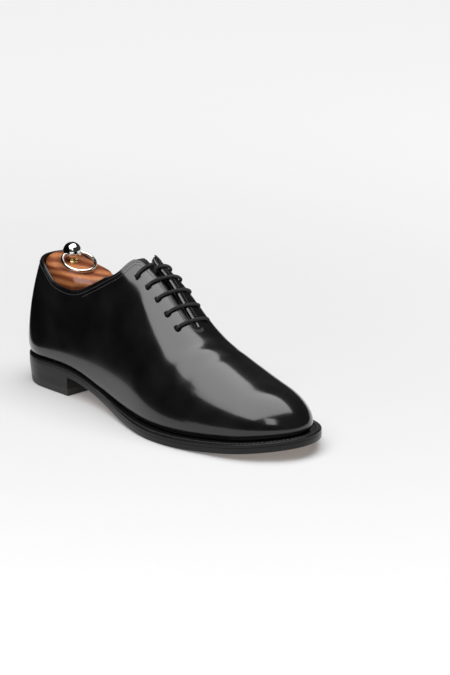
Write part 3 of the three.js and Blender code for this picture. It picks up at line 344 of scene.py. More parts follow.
def last_point(side, x, angle):
    """A point of the last: angle runs from 0 at the feather edge to a right angle on the ridge."""
    x, angle = np.broadcast_arrays(np.asarray(x, float), np.asarray(angle, float))
    spine = spine_x(x)
    centre_y = centre_line(spine)
    edge_x, edge_y = x - spine, centre_line(x) + side * half_width(side, x) - centre_y
    fullness = medial_fullness(spine) * end_rounding(x) if side == MEDIAL else 0
    cosine = np.clip(np.cos(angle), 0, 1)
    reach = cosine ** (2 / (crown_power(spine) + fullness))
    rise = np.sin(angle) ** (2 / wall_power(spine))
    height = ridge_height(spine) * rise
    at_back = np.maximum(0, 1 - x / SPINE_HEEL) ** 2
    lean = BACK_LEAN * (height / BACK_HEIGHT) ** 2 - BACK_BULGE
    pull = TUCK * np.exp(-height / TUCK_HEIGHT) + at_back * lean
    share = np.where(cosine < 1e-9, 0, reach - pull / np.hypot(edge_x, edge_y))
    px = spine + edge_x * share
    py = centre_y + edge_y * share + ridge_shift(spine) * rise**SHIFT_POWER
    return np.stack([px, py, feather(px) + ridge_height(px) * rise], -1)


def ridge_y(x):
    return centre_line(spine_x(x)) + ridge_shift(spine_x(x))


def top_angle(side, x):
    """Where a section meets the top line, the facing's edge or the ridge, whichever comes first."""
    x = np.asarray(x, float)

    def past(angle):
        p = last_point(side, x, angle)
        over = p[..., 2] - feather(p[..., 0]) > top_line(p[..., 0])
        laced = (x > FACING_TOP * LAST_LENGTH / 2) & (p[..., 0] < THROAT * LAST_LENGTH)
        return over | (laced & (np.abs(p[..., 1] - ridge_y(x)) < half_gap(p[..., 0])))

    low, high = np.zeros_like(x), np.full_like(x, math.pi / 2)
    whole = ~past(high - 1e-6)
    for _ in range(38):
        middle = (low + high) / 2
        beyond = past(middle)
        high = np.where(beyond, middle, high)
        low = np.where(beyond, low, middle)
    return np.where(whole, math.pi / 2, low)


def spread(marks, counts):
    """Even steps between marks, so many between each two."""
    parts = [np.linspace(a, b, n, endpoint=False) for a, b, n in zip(marks, marks[1:], counts)]
    return np.concatenate(parts + [[marks[-1]]])


class Skin:
    """Points that are shared where they coincide, and the faces between them."""

    def __init__(self):
        self.points, self.faces, self.keys = [], [], {}

    def add(self, point):
        key = tuple(round(v, 4) + 0.0 for v in point)
        if key not in self.keys:
            self.keys[key] = len(self.points)
            self.points.append(point)
        return self.keys[key]

    def face(self, corners):
        kept = [c for n, c in enumerate(corners) if c != corners[n - 1]]
        if len(set(kept)) > 2:
            self.faces.append(tuple(kept))

    def sheet(self, rows, turned):
        """Faces between rows of points, all rows as long as each other."""
        index = [[self.add(p) for p in row] for row in rows]
        for one, two in zip(index, index[1:]):
            for k in range(len(one) - 1):
                corners = [one[k], two[k], two[k + 1], one[k + 1]]
                self.face(corners[::-1] if turned else corners)
        return index

    def normals(self):
        points = np.array(self.points)
        sums = np.zeros_like(points)
        for f in self.faces:
            a, b, c = points[f[0]], points[f[1]], points[f[2]]
            d = points[f[3]] if len(f) > 3 else a
            sums[list(f)] += np.cross(c - a, d - b) if len(f) > 3 else np.cross(b - a, c - a)
        return sums / np.maximum(np.linalg.norm(sums, axis=1, keepdims=True), 1e-12)

    def rim(self):
        edges = {(f[n - 1], f[n]) for f in self.faces for n in range(len(f))}
        return [e for e in edges if e[::-1] not in edges]


STATION_MARKS = [0, 20, 110, 122, 136, 190, 262, 286, LAST_LENGTH]
STATION_COUNTS = [22, 44, 18, 24, 62, 40, 26, 18]
ROW_MARKS = [0, 0.06, 0.7, 1]
ROW_COUNTS = [5, 22, 27]


def upper_skin(stations, rows, margin=True):
    skin = Skin()
    for side in SIDES:
        angles = top_angle(side, stations)
        grid = [last_point(side, x, angle * rows) for x, angle in zip(stations, angles)]
        if margin:
            for n, x in enumerate(stations):
                inward = np.array([spine_x(x), centre_line(spine_x(x))]) - grid[n][0][:2]
                turned_in = grid[n][0][:2] + inward * LASTING_MARGIN / np.linalg.norm(inward)
                grid[n] = np.vstack([[*turned_in, feather(turned_in[0])], grid[n]])
        skin.sheet(grid, turned=side == MEDIAL)
    return skin


def facing_point(side, x, from_edge, lift=0.0):
    """The point beside the gap, so far over the surface from the facing's edge, lifted along the normal."""
    edge = float(top_angle(side, np.array([x]))[0])
    angles = np.linspace(edge, 0.02, 1500)
    walk = last_point(side, x, angles)
    gone = np.concatenate([[0], np.cumsum(np.linalg.norm(np.diff(walk, axis=0), axis=1))])
    angle = np.interp(from_edge, gone, angles)
    step = 0.002
    here = last_point(side, x, angle)
    over = last_point(side, x, min(angle + step, math.pi / 2)) - last_point(side, x, angle - step)
    onward = last_point(side, x + 0.5, angle) - last_point(side, x - 0.5, angle)
    out = np.cross(over, onward) * side
    out /= np.linalg.norm(out)
    return here + out * lift, out


def eyelet_x(n):
    first, last = THROAT * LAST_LENGTH - 5, FACING_TOP * LAST_LENGTH + 8.8
    return first + (last - first) * n / (EYELET_PAIRS - 1)


def punch(skin, centre, out, radius):
    """Opens a round hole: the faces inside it go, and the ring of points round them moves onto its edge."""
    points = np.array(skin.points)
    reach = np.linalg.norm(points - centre, axis=1)
    inside = set(np.nonzero(reach < radius * 1.35)[0])
    skin.faces = [f for f in skin.faces if not inside.intersection(f)]
    edge = {v for e in skin.rim() for v in e if reach[v] < radius * 2.6}
    for v in edge:
        arm = points[v] - centre
        sunk = arm @ out
        flat = arm - out * sunk
        length = np.linalg.norm(flat)
        skin.points[v] = centre + flat * radius / length + out * sunk * (radius / length) ** 2


def tidy_points(skin):
    used = sorted({v for f in skin.faces for v in f})
    new = {old: n for n, old in enumerate(used)}
    skin.points = [skin.points[v] for v in used]
    skin.faces = [tuple(new[v] for v in f) for f in skin.faces]


def shell(skin, near, far, roll=0.3):
    """A closed layer between two depths below a skin, with its edges rolled."""
    points, normals = np.array(skin.points), skin.normals()
    near = np.broadcast_to(near, len(points))[:, None]
    far = np.broadcast_to(far, len(points))[:, None]
    count = len(points)
    edges = skin.rim()
    outward = np.zeros_like(points)
    for a, b in edges:
        direction = np.cross(points[b] - points[a], normals[a] + normals[b])
        direction /= max(np.linalg.norm(direction), 1e-9)
        outward[a] += direction
        outward[b] += direction
    rim_points = sorted({v for e in edges for v in e})
    middle = {v: 2 * count + n for n, v in enumerate(rim_points)}
    lengths = np.maximum(np.linalg.norm(outward[rim_points], axis=1, keepdims=True), 1e-9)
    rolled = points[rim_points] - normals[rim_points] * ((near + far) / 2)[rim_points]
    rolled = rolled + outward[rim_points] / lengths * roll
    made = np.vstack([points - normals * near, points - normals * far, rolled])
    faces = list(skin.faces) + [tuple(v + count for v in f[::-1]) for f in skin.faces]
    for a, b in edges:
        faces.append((b, a, middle[a], middle[b]))
        faces.append((middle[b], middle[a], a + count, b + count))
    return made, faces


def add_piece(name, points, faces, materials, smooth=True, sharp=None, uv=None):
    """A finished mesh object in the part's frame, from millimetre points."""
    mesh = bpy.data.meshes.new(name)
    mesh.from_pydata(to_frame(points).tolist(), [], [tuple(int(v) for v in f) for f in faces])
    for material in materials if isinstance(materials, (list, tuple)) else [materials]:
        mesh.materials.append(material)
    work = bmesh.new()
    work.from_mesh(mesh)
    if uv is not None:
        layer = work.loops.layers.uv.new("UVMap")
        work.verts.ensure_lookup_table()
        for face in work.faces:
            for loop in face.loops:
                loop[layer].uv = uv[loop.vert.index]
    bmesh.ops.recalc_face_normals(work, faces=work.faces)
    work.to_mesh(mesh)
    work.free()
    mesh.shade_smooth() if smooth else mesh.shade_flat()
    if sharp:
        mesh.set_sharp_from_angle(angle=math.radians(sharp))
    made = bpy.data.objects.new(name, mesh)
    bpy.context.scene.collection.objects.link(made)
    return made


def finish_piece(piece, body, slot, *nodes):
    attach(piece, body)
    if nodes:
        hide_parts(*nodes)


def calf_material(name="polished_calf", roughness=(0.13, 0.24), grain=0.05):
    material, shader, node, into = new_material(name)
    place = node("ShaderNodeTexCoord").outputs["Object"]
    pores = node("ShaderNodeTexVoronoi", [(place, "Vector")], Scale=1500.0)
    folds = node("ShaderNodeTexNoise", [(place, "Vector")], Scale=900.0, Detail=6.0)
    cloud = node("ShaderNodeTexNoise", [(place, "Vector")], Scale=45.0, Detail=4.0)
    low, high = roughness
    gloss = node("ShaderNodeMapRange", [(cloud.outputs["Fac"], "Value")], To_Min=low, To_Max=high)
    into(gloss.outputs["Result"], "Roughness")
    blacks = [(0.35, (0.0035, 0.0035, 0.004)), (0.7, (0.009, 0.0085, 0.009))]
    into(ramp(node, cloud.outputs["Fac"], blacks), "Base Color")
    first = node("ShaderNodeBump", [(pores.outputs["Distance"], "Height")], Strength=grain, Distance=0.0002)
    bumped(node, into, folds.outputs["Fac"], grain, 0.0003, first.outputs["Normal"])
    shader.inputs["Specular IOR Level"].default_value = 0.5
    shader.inputs["Coat Weight"].default_value = 0.35
    shader.inputs["Coat Roughness"].default_value = 0.07
    return material


calf = calf_material()
skin = upper_skin(spread(STATION_MARKS, STATION_COUNTS), spread(ROW_MARKS, ROW_COUNTS))
eyelets = {
    side: [facing_point(side, eyelet_x(n), EYELET_INSET) for n in range(EYELET_PAIRS)] for side in SIDES
}
for side in SIDES:
    for centre, out in eyelets[side]:
        punch(skin, centre, out, EYELET_RADIUS)
tidy_points(skin)


# Each crease, or swell where the depth is negative: its depth, where it crosses the ridge, its slant
# and its half width.
CREASES = [(0.55, 203, 0.35, 6), (0.4, 219, 0.2, 5), (-0.3, 211, 0.3, 5)]
CREASE_MIDDLE, CREASE_REACH = -8, 24


def crease(point):
    """Depth below the lasted shape of the shallow creases that walking leaves across the vamp."""
    x, y, _ = point
    off = y - float(ridge_y(x))
    fade = math.exp(-((off - CREASE_MIDDLE) / CREASE_REACH) ** 2)
    return fade * sum(
        depth * math.exp(-(((x - place - slant * off) / width) ** 2))
        for depth, place, slant, width in CREASES
    )


creases = np.array([crease(point) for point in skin.points])
upper = add_piece("upper_leather", *shell(skin, creases, creases + UPPER_THICK, 0.35), calf)
finish_piece(upper, "shoe", "calf", "wholecut_upper")

# ---------------------------------------------------------------- linings
# Dark brown calf in two pieces sewn at the waist. It lies inside the stiffeners, and comes out to meet
# the upper at the top line.
QUARTER_END = 0.5
LINING_ROWS = 26
MEETING_SHARE = 4.5  # one over the top share of the height in which the lining comes out to the upper


def leather_material(name, dark, light, roughness, grain, scale=1100.0):
    material, shader, node, into = new_material(name)
    place = node("ShaderNodeTexCoord").outputs["Object"]
    cloud = node("ShaderNodeTexNoise", [(place, "Vector")], Scale=70.0, Detail=8.0)
    pores = node("ShaderNodeTexVoronoi", [(place, "Vector")], Scale=scale)
    into(ramp(node, cloud.outputs["Fac"], [(0.3, dark), (0.7, light)]), "Base Color")
    duller, shinier = roughness + 0.08, roughness - 0.08
    gloss = node("ShaderNodeMapRange", [(cloud.outputs["Fac"], "Value")], To_Min=shinier, To_Max=duller)
    into(gloss.outputs["Result"], "Roughness")
    bumped(node, into, pores.outputs["Distance"], grain, 0.0003)
    return material


lining_leather = leather_material(
    "brown_lining_calf", (0.014, 0.009, 0.005), (0.034, 0.021, 0.011), roughness=0.5, grain=0.35,
)


def lining_piece(name, first, last, steps):
    stations = np.linspace(first, last, steps)
    rows = np.linspace(0, 1, LINING_ROWS)
    lining = Skin()
    sunk = {}
    for side in SIDES:
        angles = top_angle(side, stations)
        grid = [last_point(side, x, angle * rows) for x, angle in zip(stations, angles)]
        index = lining.sheet(grid, turned=side == MEDIAL)
        for x, column in zip(stations, index):
            for share, v in zip(rows, column):
                inward = min(1, (1 - share) * MEETING_SHARE) if x < FACING_TOP * LAST_LENGTH else 1
                sunk[v] = STIFFENER_DEPTH + (LINING_DEPTH - STIFFENER_DEPTH) * inward
    depth = np.array([sunk[v] for v in range(len(lining.points))])
    for side in SIDES:
        for centre, out in eyelets[side]:
            if first < centre[0] < last:
                punch(lining, centre, out, EYELET_RADIUS)
    used = sorted({v for f in lining.faces for v in f})
    depth = depth[used]
    tidy_points(lining)
    piece = add_piece(name, *shell(lining, depth, depth + LINING_THICK, 0.1), lining_leather)
    finish_piece(piece, "shoe", "lining_leather", name.replace("_leather", ""))


seam = QUARTER_END * LAST_LENGTH
lining_piece("quarter_lining_leather", 0, seam - CLEARANCE / 2, 110)
lining_piece("vamp_lining_leather", seam + CLEARANCE / 2, LAST_LENGTH, 80)

# ---------------------------------------------------------------- top line binding
# A narrow strip of calf folded over the joined edge of upper and lining: a bead round the ankle.
BINDING_RADIUS = 1.05
BINDING_END = 111.0
BEAD_RISE = (BINDING_RADIUS + 1.5 * CLEARANCE) * 0.55


def tube(points, radius, sides):
    """Points, faces and UVs of a round tube: u runs along it in millimetres, v there and back round it."""
    path = np.array(points, float)
    along = np.gradient(path, axis=0)
    along /= np.linalg.norm(along, axis=1, keepdims=True)
    radius = np.broadcast_to(radius, len(path))
    side = np.cross(along[0], (0, 0, 1) if abs(along[0][2]) < 0.9 else (0, 1, 0))
    made, gone = [], 0.0
    uv = []
    for n, (centre, forward) in enumerate(zip(path, along)):
        side = side - forward * (side @ forward)
        side /= np.linalg.norm(side)
        other = np.cross(forward, side)
        gone += np.linalg.norm(path[n] - path[n - 1]) if n else 0
        for k in range(sides):
            turn = 2 * math.pi * k / sides
            made.append(centre + radius[n] * (side * math.cos(turn) + other * math.sin(turn)))
            uv.append((gone, abs(2 * k / sides - 1)))
    faces = []
    for n in range(len(path) - 1):
        for k in range(sides):
            a, b = n * sides + k, n * sides + (k + 1) % sides
            faces.append((a, b, b + sides, a + sides))
    faces.append(tuple(range(sides))[::-1])
    faces.append(tuple(range((len(path) - 1) * sides, len(path) * sides)))
    return made, faces, uv


def even_path(points, step, rounds=2):
    """The path at even steps, with its corners softened a little."""
    path = np.array(points, float)
    gone = np.concatenate([[0], np.cumsum(np.linalg.norm(np.diff(path, axis=0), axis=1))])
    count = max(3, int(gone[-1] / step) + 1)
    path = np.stack([np.interp(np.linspace(0, gone[-1], count), gone, path[:, k]) for k in range(3)], -1)
    for _ in range(rounds):
        path[1:-1] = (path[:-2] + 2 * path[1:-1] + path[2:]) / 4
    return path


def edge_bead():
    path = []
    forward = np.linspace(0, BINDING_END, 130)
    for side, stations in ((LATERAL, forward[::-1]), (MEDIAL, forward[1:])):
        for x in stations:
            edge, out = facing_point(side, x, 0)
            below, _ = facing_point(side, x, 1)
            over = (edge - below) / np.linalg.norm(edge - below)
            middle = edge - out * (STIFFENER_DEPTH + LINING_THICK) / 2
            path.append(middle + over * BEAD_RISE)
    return even_path(path, 1.2, 4)


bead_points, bead_faces, _ = tube(edge_bead(), BINDING_RADIUS, 12)
binding = add_piece("topline_bead", bead_points, bead_faces, calf_material("binding_calf", (0.25, 0.4), 0.1))
finish_piece(binding, "shoe", "calf", "topline_binding")

# ---------------------------------------------------------------- tongue
# A soft calf tongue under the facings, stitched to the vamp below the throat.
FACET_SLACK = 0.9
LACE_RADIUS = 1.25
CAVITY_DEPTH = LINING_DEPTH + LINING_THICK
LACE_DEPTH = CAVITY_DEPTH + CLEARANCE + FACET_SLACK + LACE_RADIUS
TONGUE_DEPTH = LACE_DEPTH + LACE_RADIUS + CLEARANCE + FACET_SLACK / 2
TONGUE_THICK, TONGUE_HALF = 1.4, 21.0
TONGUE_CORNER, TONGUE_SEWN = 0.2, 0.15  # shares of its length that are rounded, and sewn to the vamp
TONGUE_START, TONGUE_END = FACING_TOP * LAST_LENGTH - 3.5, THROAT * LAST_LENGTH + 7


def surface_at(x, from_ridge):
    side = LATERAL if from_ridge < 0 else MEDIAL
    spine = spine_x(x)
    fullness = medial_fullness(spine) * end_rounding(x) if side == MEDIAL else 0
    reach = abs(from_ridge) / half_width(side, x)
    return last_point(side, x, math.acos(reach ** ((crown_power(spine) + fullness) / 2)))


def tongue_piece():
    lengths, crosses = np.linspace(0, 1, 60), np.linspace(-1, 1, 41)
    sheet = Skin()
    rows = []
    for share in lengths:
        corner = max(0, 1 - share / TONGUE_CORNER)
        half = TONGUE_HALF * (0.6 + 0.4 * math.sqrt(1 - corner**2))
        x = TONGUE_START + (TONGUE_END - TONGUE_START) * share
        rows.append([surface_at(x, half * cross) for cross in crosses])
    index = sheet.sheet(rows, turned=False)
    sewn = TONGUE_DEPTH - CAVITY_DEPTH - 2 * CLEARANCE
    near = np.zeros(len(sheet.points))
    for share, row in zip(lengths, index):
        near[row] = TONGUE_DEPTH - sewn * max(0, (share - (1 - TONGUE_SEWN)) / TONGUE_SEWN)
    soft_calf = calf_material("tongue_calf", (0.3, 0.45), 0.12)
    piece = add_piece("tongue_leather", *shell(sheet, near, near + TONGUE_THICK, 0.4), soft_calf)
    finish_piece(piece, "shoe", "calf", "tongue")


tongue_piece()

# ---------------------------------------------------------------- stitching of the upper
# Fine waxed thread, about a dozen stitches to the inch: one row under the top line and down both facings,
# a second row inside it round the facings, and a small bar tack that closes the throat.
STITCH_PITCH = 1.9
STITCH_LENGTH = 1.5
THREAD_RADIUS = 0.24


def thread_material(name, colour, roughness=0.5):
    material, shader, node, into = new_material(name)
    place = node("ShaderNodeTexCoord").outputs["Object"]
    twist = node("ShaderNodeTexWave", [(place, "Vector")], Scale=900.0, Distortion=2.0)
    lighter = tuple(min(1, v * 1.8 + 0.01) for v in colour)
    into(ramp(node, twist.outputs["Fac"], [(0.2, colour), (0.8, lighter)]), "Base Color")
    shader.inputs["Roughness"].default_value = roughness
    bumped(node, into, twist.outputs["Fac"], 0.4, 0.0001)
    return material


def stitch_tree():
    """Geometry Nodes: a small rounded stitch at every pitch along the mesh edges it is given."""
    tree = bpy.data.node_groups.new("stitch_row", "GeometryNodeTree")
    face = tree.interface
    face.new_socket("Geometry", in_out="OUTPUT", socket_type="NodeSocketGeometry")
    face.new_socket("Geometry", in_out="INPUT", socket_type="NodeSocketGeometry")
    for name in ("Pitch", "Stitch Length", "Thread Radius"):
        face.new_socket(name, in_out="INPUT", socket_type="NodeSocketFloat")
    face.new_socket("Thread", in_out="INPUT", socket_type="NodeSocketMaterial")
    add = tree.nodes.new
    given, out = add("NodeGroupInput"), add("NodeGroupOutput")
    curve, even = add("GeometryNodeMeshToCurve"), add("GeometryNodeResampleCurve")
    even.mode = "LENGTH"
    stitch, shape = add("GeometryNodeMeshUVSphere"), add("GeometryNodeTransform")
    stitch.inputs["Segments"].default_value = 8
    stitch.inputs["Rings"].default_value = 6
    size, halved = add("ShaderNodeCombineXYZ"), add("ShaderNodeMath")
    halved.operation = "MULTIPLY"
    halved.inputs[1].default_value = 0.5
    turn, tangent = add("FunctionNodeAlignRotationToVector"), add("GeometryNodeInputTangent")
    turn.axis = "Z"
    copies, real = add("GeometryNodeInstanceOnPoints"), add("GeometryNodeRealizeInstances")
    smooth, paint = add("GeometryNodeSetShadeSmooth"), add("GeometryNodeSetMaterial")
    for source, output, target, socket in [
        (given, "Geometry", curve, "Mesh"),
        (curve, "Curve", even, "Curve"),
        (given, "Pitch", even, "Length"),
        (given, "Stitch Length", halved, 0),
        (given, "Thread Radius", size, "X"),
        (given, "Thread Radius", size, "Y"),
        (halved, 0, size, "Z"),
        (stitch, "Mesh", shape, "Geometry"),
        (size, "Vector", shape, "Scale"),
        (tangent, "Tangent", turn, "Vector"),
        (even, "Curve", copies, "Points"),
        (shape, "Geometry", copies, "Instance"),
        (turn, "Rotation", copies, "Rotation"),
        (copies, "Instances", real, "Geometry"),
        (real, "Geometry", smooth, "Geometry"),
        (smooth, "Geometry", paint, "Geometry"),
        (given, "Thread", paint, "Material"),
        (paint, "Geometry", out, "Geometry"),
    ]:
        tree.links.new(source.outputs[output], target.inputs[socket])
    return tree


row_tree = stitch_tree()


def stitch_rows(name, paths, pitch, length, radius, thread, body, slot):
    """Plain mesh stitches along paths given in millimetres."""
    points, edges = [], []
    for path in paths:
        edges += [(len(points) + n, len(points) + n + 1) for n in range(len(path) - 1)]
        points += to_frame(path).tolist()
    guide = bpy.data.meshes.new(name + "_guide")
    guide.from_pydata(points, edges, [])
    holder = bpy.data.objects.new(name + "_guide", guide)
    bpy.context.scene.collection.objects.link(holder)
    rows = holder.modifiers.new("stitch_row", "NODES")
    rows.node_group = row_tree
    sockets = {s.name: s.identifier for s in row_tree.interface.items_tree if s.in_out == "INPUT"}
    rows[sockets["Pitch"]] = pitch * MM
    rows[sockets["Stitch Length"]] = length * MM
    rows[sockets["Thread Radius"]] = radius * MM
    rows[sockets["Thread"]] = thread
    depsgraph = bpy.context.evaluated_depsgraph_get()
    mesh = bpy.data.meshes.new_from_object(holder.evaluated_get(depsgraph))
    mesh.name = name
    bpy.data.objects.remove(holder)
    piece = bpy.data.objects.new(name, mesh)
    bpy.context.scene.collection.objects.link(piece)
    finish_piece(piece, body, slot)
    return piece


outer_skin = upper_skin(spread(STATION_MARKS, STATION_COUNTS), spread(ROW_MARKS, ROW_COUNTS), margin=False)
leather_face = BVHTree.FromPolygons([Vector(p) for p in outer_skin.points], outer_skin.faces)


def rim_loops(skin):
    onward = dict(skin.rim())
    loops = []
    while onward:
        first = next(iter(onward))
        loop, here = [first], onward.pop(first)
        while here in onward:
            loop.append(here)
            here = onward.pop(here)
        loops.append(loop)
    return sorted(loops, key=len)


def edge_loop():
    """The rim of the ankle opening and the facings, with the direction inward from it."""
    points, normals = np.array(outer_skin.points), outer_skin.normals()
    loop = next(l for l in rim_loops(outer_skin)[::-1] if points[l][:, 2].min() > feather(0) + TOE_HEIGHT)
    path = even_path(np.vstack([points[loop], points[loop[:1]]]), 0.8, 2)
    inward = []
    for before, here, after in zip(np.roll(path, 1, 0), path, np.roll(path, -1, 0)):
        _, normal, _, _ = leather_face.find_nearest(Vector(here))
        step = np.cross(after - before, normal)
        step = step / max(np.linalg.norm(step), 1e-9)
        near = leather_face.find_nearest(Vector(here + step * 2))[3]
        inward.append(step if near < 1 else -step)
    return path, np.array(inward)


def inside_edge(distance, lift, keep):
    path, inward = edge_loop()
    moved = []
    for here, step in zip(path, inward):
        spot, normal, _, _ = leather_face.find_nearest(Vector(here + step * distance))
        from_inside = np.array(spot) - (here[0], 0, feather(here[0]))
        normal = np.array(normal) * (1 if np.dot(normal, from_inside) > 0 else -1)
        moved.append(np.array(spot) + normal * lift)
    rows, run = [], []
    for point in moved:
        if keep(point) and (not run or np.linalg.norm(point - run[-1]) < 3):
            run.append(point)
        else:
            if len(run) > 4:
                rows.append(even_path(run, 0.8, 3))
            run = [point] if keep(point) else []
    if len(run) > 4:
        rows.append(even_path(run, 0.8, 3))
    return rows


black_thread = thread_material("black_waxed_thread", (0.045, 0.045, 0.047), 0.38)
ROW_LIFT = THREAD_RADIUS * 0.6
stitch_rows(
    "edge_stitches", inside_edge(1.9, ROW_LIFT, lambda p: True),
    STITCH_PITCH, STITCH_LENGTH, THREAD_RADIUS, black_thread, "shoe", "calf",
)
stitch_rows(
    "facing_stitches", inside_edge(4.6, ROW_LIFT, lambda p: 88 < p[0] < THROAT * LAST_LENGTH),
    STITCH_PITCH, STITCH_LENGTH, THREAD_RADIUS, black_thread, "shoe", "calf",
)


def bar_tack():
    rows = []
    for step in (0, 0.9, 1.8):
        angles = np.linspace(-1.1, 1.1, 12)
        path = []
        for angle in angles:
            x = THROAT * LAST_LENGTH + 0.6 + step + 2.2 * math.cos(angle)
            spot, normal, _, _ = leather_face.find_nearest(Vector(surface_at(x, 4.2 * math.sin(angle))))
            path.append(np.array(spot) + np.array((0, 0, 1)) * 0.12)
        rows.append(even_path(path, 0.5, 1))
    return rows


stitch_rows("throat_bar_tack", bar_tack(), 0.75, 1.1, 0.3, black_thread, "shoe", "calf")

# ---------------------------------------------------------------- shoelace
# One round waxed cotton lace, straight bars over the gap and runs hidden under the facings; its two ends
# cross at the top eyelets, dive into the gap and lie tucked along the lining.
BAR_HEIGHT = LACE_RADIUS + CLEARANCE
TOP_PAIR = EYELET_PAIRS - 1
STRAND_SPACING, RUN_SHIFT, TAIL_SHIFT, TAIL_LENGTH, AGLET_LENGTH = 3.2, 4.2, 3.6, 54.0, 20.0
LACE_BEND = 1.5


def under_facing(side, x, from_edge):
    return facing_point(side, x, from_edge, -LACE_DEPTH)[0]


def over_facing(side, x, from_edge):
    return facing_point(side, x, from_edge, BAR_HEIGHT)[0]


def down_hole(side, n):
    centre, out = eyelets[side][n]
    return [centre + out * BAR_HEIGHT, centre - out * LACE_DEPTH]


def over_gap(n, side):
    start = [over_facing(side, eyelet_x(n), edge) for edge in (10, 5, 0)]
    return start + [over_facing(-side, eyelet_x(n), edge) for edge in (0, 5, 10)]


def tucked_end(side, shift):
    x = eyelet_x(TOP_PAIR)
    over = [over_facing(side, x + shift * (n + 1) / 3, edge) for n, edge in enumerate((10, 5, 0))]
    down = [
        surface_at(x + shift, -side * y) + np.array((0, 0, height))
        for y, height in ((0, 1.1), (0.5, -0.8), (0.5, -4), (2, -LACE_DEPTH - 0.5))
    ]
    along = [under_facing(-side, x - TAIL_SHIFT, edge) for edge in (6, 14, 22, 32, 43, TAIL_LENGTH)]
    return over + down + along


def lace_route():
    def between(n, m, share):
        return eyelet_x(n) + (eyelet_x(m) - eyelet_x(n)) * share

    points = tucked_end(LATERAL, -STRAND_SPACING / 2)[::-1] + down_hole(LATERAL, TOP_PAIR)
    points += [
        under_facing(LATERAL, between(TOP_PAIR, 0, share), EYELET_INSET + RUN_SHIFT)
        for share in (0.12, 0.3, 0.5, 0.7, 0.88)
    ]
    side = LATERAL
    for n in range(TOP_PAIR):
        points += down_hole(side, n)[::-1] + over_gap(n, side) + down_hole(-side, n)
        side = -side
        if n < TOP_PAIR - 1:
            points.append(under_facing(side, between(n, n + 1, 0.5), EYELET_INSET))
    if side == LATERAL:
        for share in (0.2, 0.4, 0.6, 0.8):
            edge = 7 if abs(share - 0.5) > 0.2 else 0.5
            here = LATERAL if share < 0.5 else MEDIAL
            points.append(under_facing(here, between(TOP_PAIR - 1, TOP_PAIR, share), edge))
    points += down_hole(MEDIAL, TOP_PAIR)[::-1] + tucked_end(MEDIAL, STRAND_SPACING / 2)
    return points


def rounded(points, cut_back):
    path = [points[0]]
    for before, here, after in zip(points, points[1:], points[2:]):
        back, on = before - here, after - here
        back_length, on_length = np.linalg.norm(back), np.linalg.norm(on)
        start = here + back / back_length * min(cut_back, back_length / 2)
        end = here + on / on_length * min(cut_back, on_length / 2)
        for t in np.linspace(0, 1, 7):
            path.append(start * (1 - t) ** 2 + here * 2 * t * (1 - t) + end * t * t)
    return path + [points[-1]]


def lace_material():
    material, shader, node, into = new_material("waxed_lace")
    place = node("ShaderNodeTexCoord").outputs["UV"]
    strands = []
    for lay in (0.7, -0.7):
        turned = node("ShaderNodeMapping", [(place, "Vector")])
        turned.inputs["Scale"].default_value = (1.0, 5.0, 1.0)
        turned.inputs["Rotation"].default_value = (0, 0, lay)
        braid = node("ShaderNodeTexWave", [(turned.outputs["Vector"], "Vector")], Scale=1.1)
        strands.append((braid.outputs["Fac"], len(strands)))
    weave = node("ShaderNodeMath", strands, operation="MAXIMUM")
    blacks = [(0.2, (0.004, 0.004, 0.004)), (0.9, (0.02, 0.02, 0.021))]
    into(ramp(node, weave.outputs["Value"], blacks), "Base Color")
    shader.inputs["Roughness"].default_value = 0.42
    bumped(node, into, weave.outputs["Value"], 0.7, 0.0003)
    return material


lace_cotton = lace_material()
lace_points, lace_faces, lace_uv = tube(even_path(rounded(lace_route(), LACE_BEND), 0.8, 3), LACE_RADIUS, 12)
lace = add_piece("waxed_lace", lace_points, lace_faces, lace_cotton, uv=lace_uv)
finish_piece(lace, "shoe", "lace_cord", "shoelace")

for side, word in ((LATERAL, "lateral"), (MEDIAL, "medial")):
    x = eyelet_x(TOP_PAIR) - TAIL_SHIFT
    ends = [
        facing_point(side, x, edge, -LACE_DEPTH - CLEARANCE)[0]
        for edge in (TAIL_LENGTH + 2 * CLEARANCE, TAIL_LENGTH + AGLET_LENGTH)
    ]
    sleeve = [ends[0] + (ends[1] - ends[0]) * t for t in np.linspace(0, 1, 24)]
    girth = LACE_RADIUS + 0.1 - 0.25 * (np.abs(np.linspace(-1, 1, 24)) ** 8)
    aglet_points, aglet_faces, _ = tube(sleeve, girth, 16)
    plastic = thread_material("aglet_plastic_" + word, (0.012, 0.012, 0.012), 0.25)
    aglet = add_piece("aglet_sleeve_" + word, aglet_points, aglet_faces, plastic)
    finish_piece(aglet, "shoe", "lace_tip", "lace_aglet_" + word)

# ---------------------------------------------------------------- welt, rand and outsole
# A leather welt stitched round the forepart and a rand round the heel seat, on a 4.5 mm leather outsole;
# their edges are trimmed together, inked black and burnished, and the underside is left tan.
HEEL_LENGTH = 70.0
MARGIN_EDGE = TUCK + LASTING_MARGIN
LOOP_STEPS = 150
sole_reach = {
    LATERAL: along_last([(0, -0.5), (0.24, -0.7), (0.36, -1), (0.5, 2), (0.62, 4.5), (1, 5)]),
    MEDIAL: along_last([(0, -0.5), (0.24, -0.9), (0.36, -2.4), (0.5, -0.5), (0.62, 3.4), (1, 5)]),
}


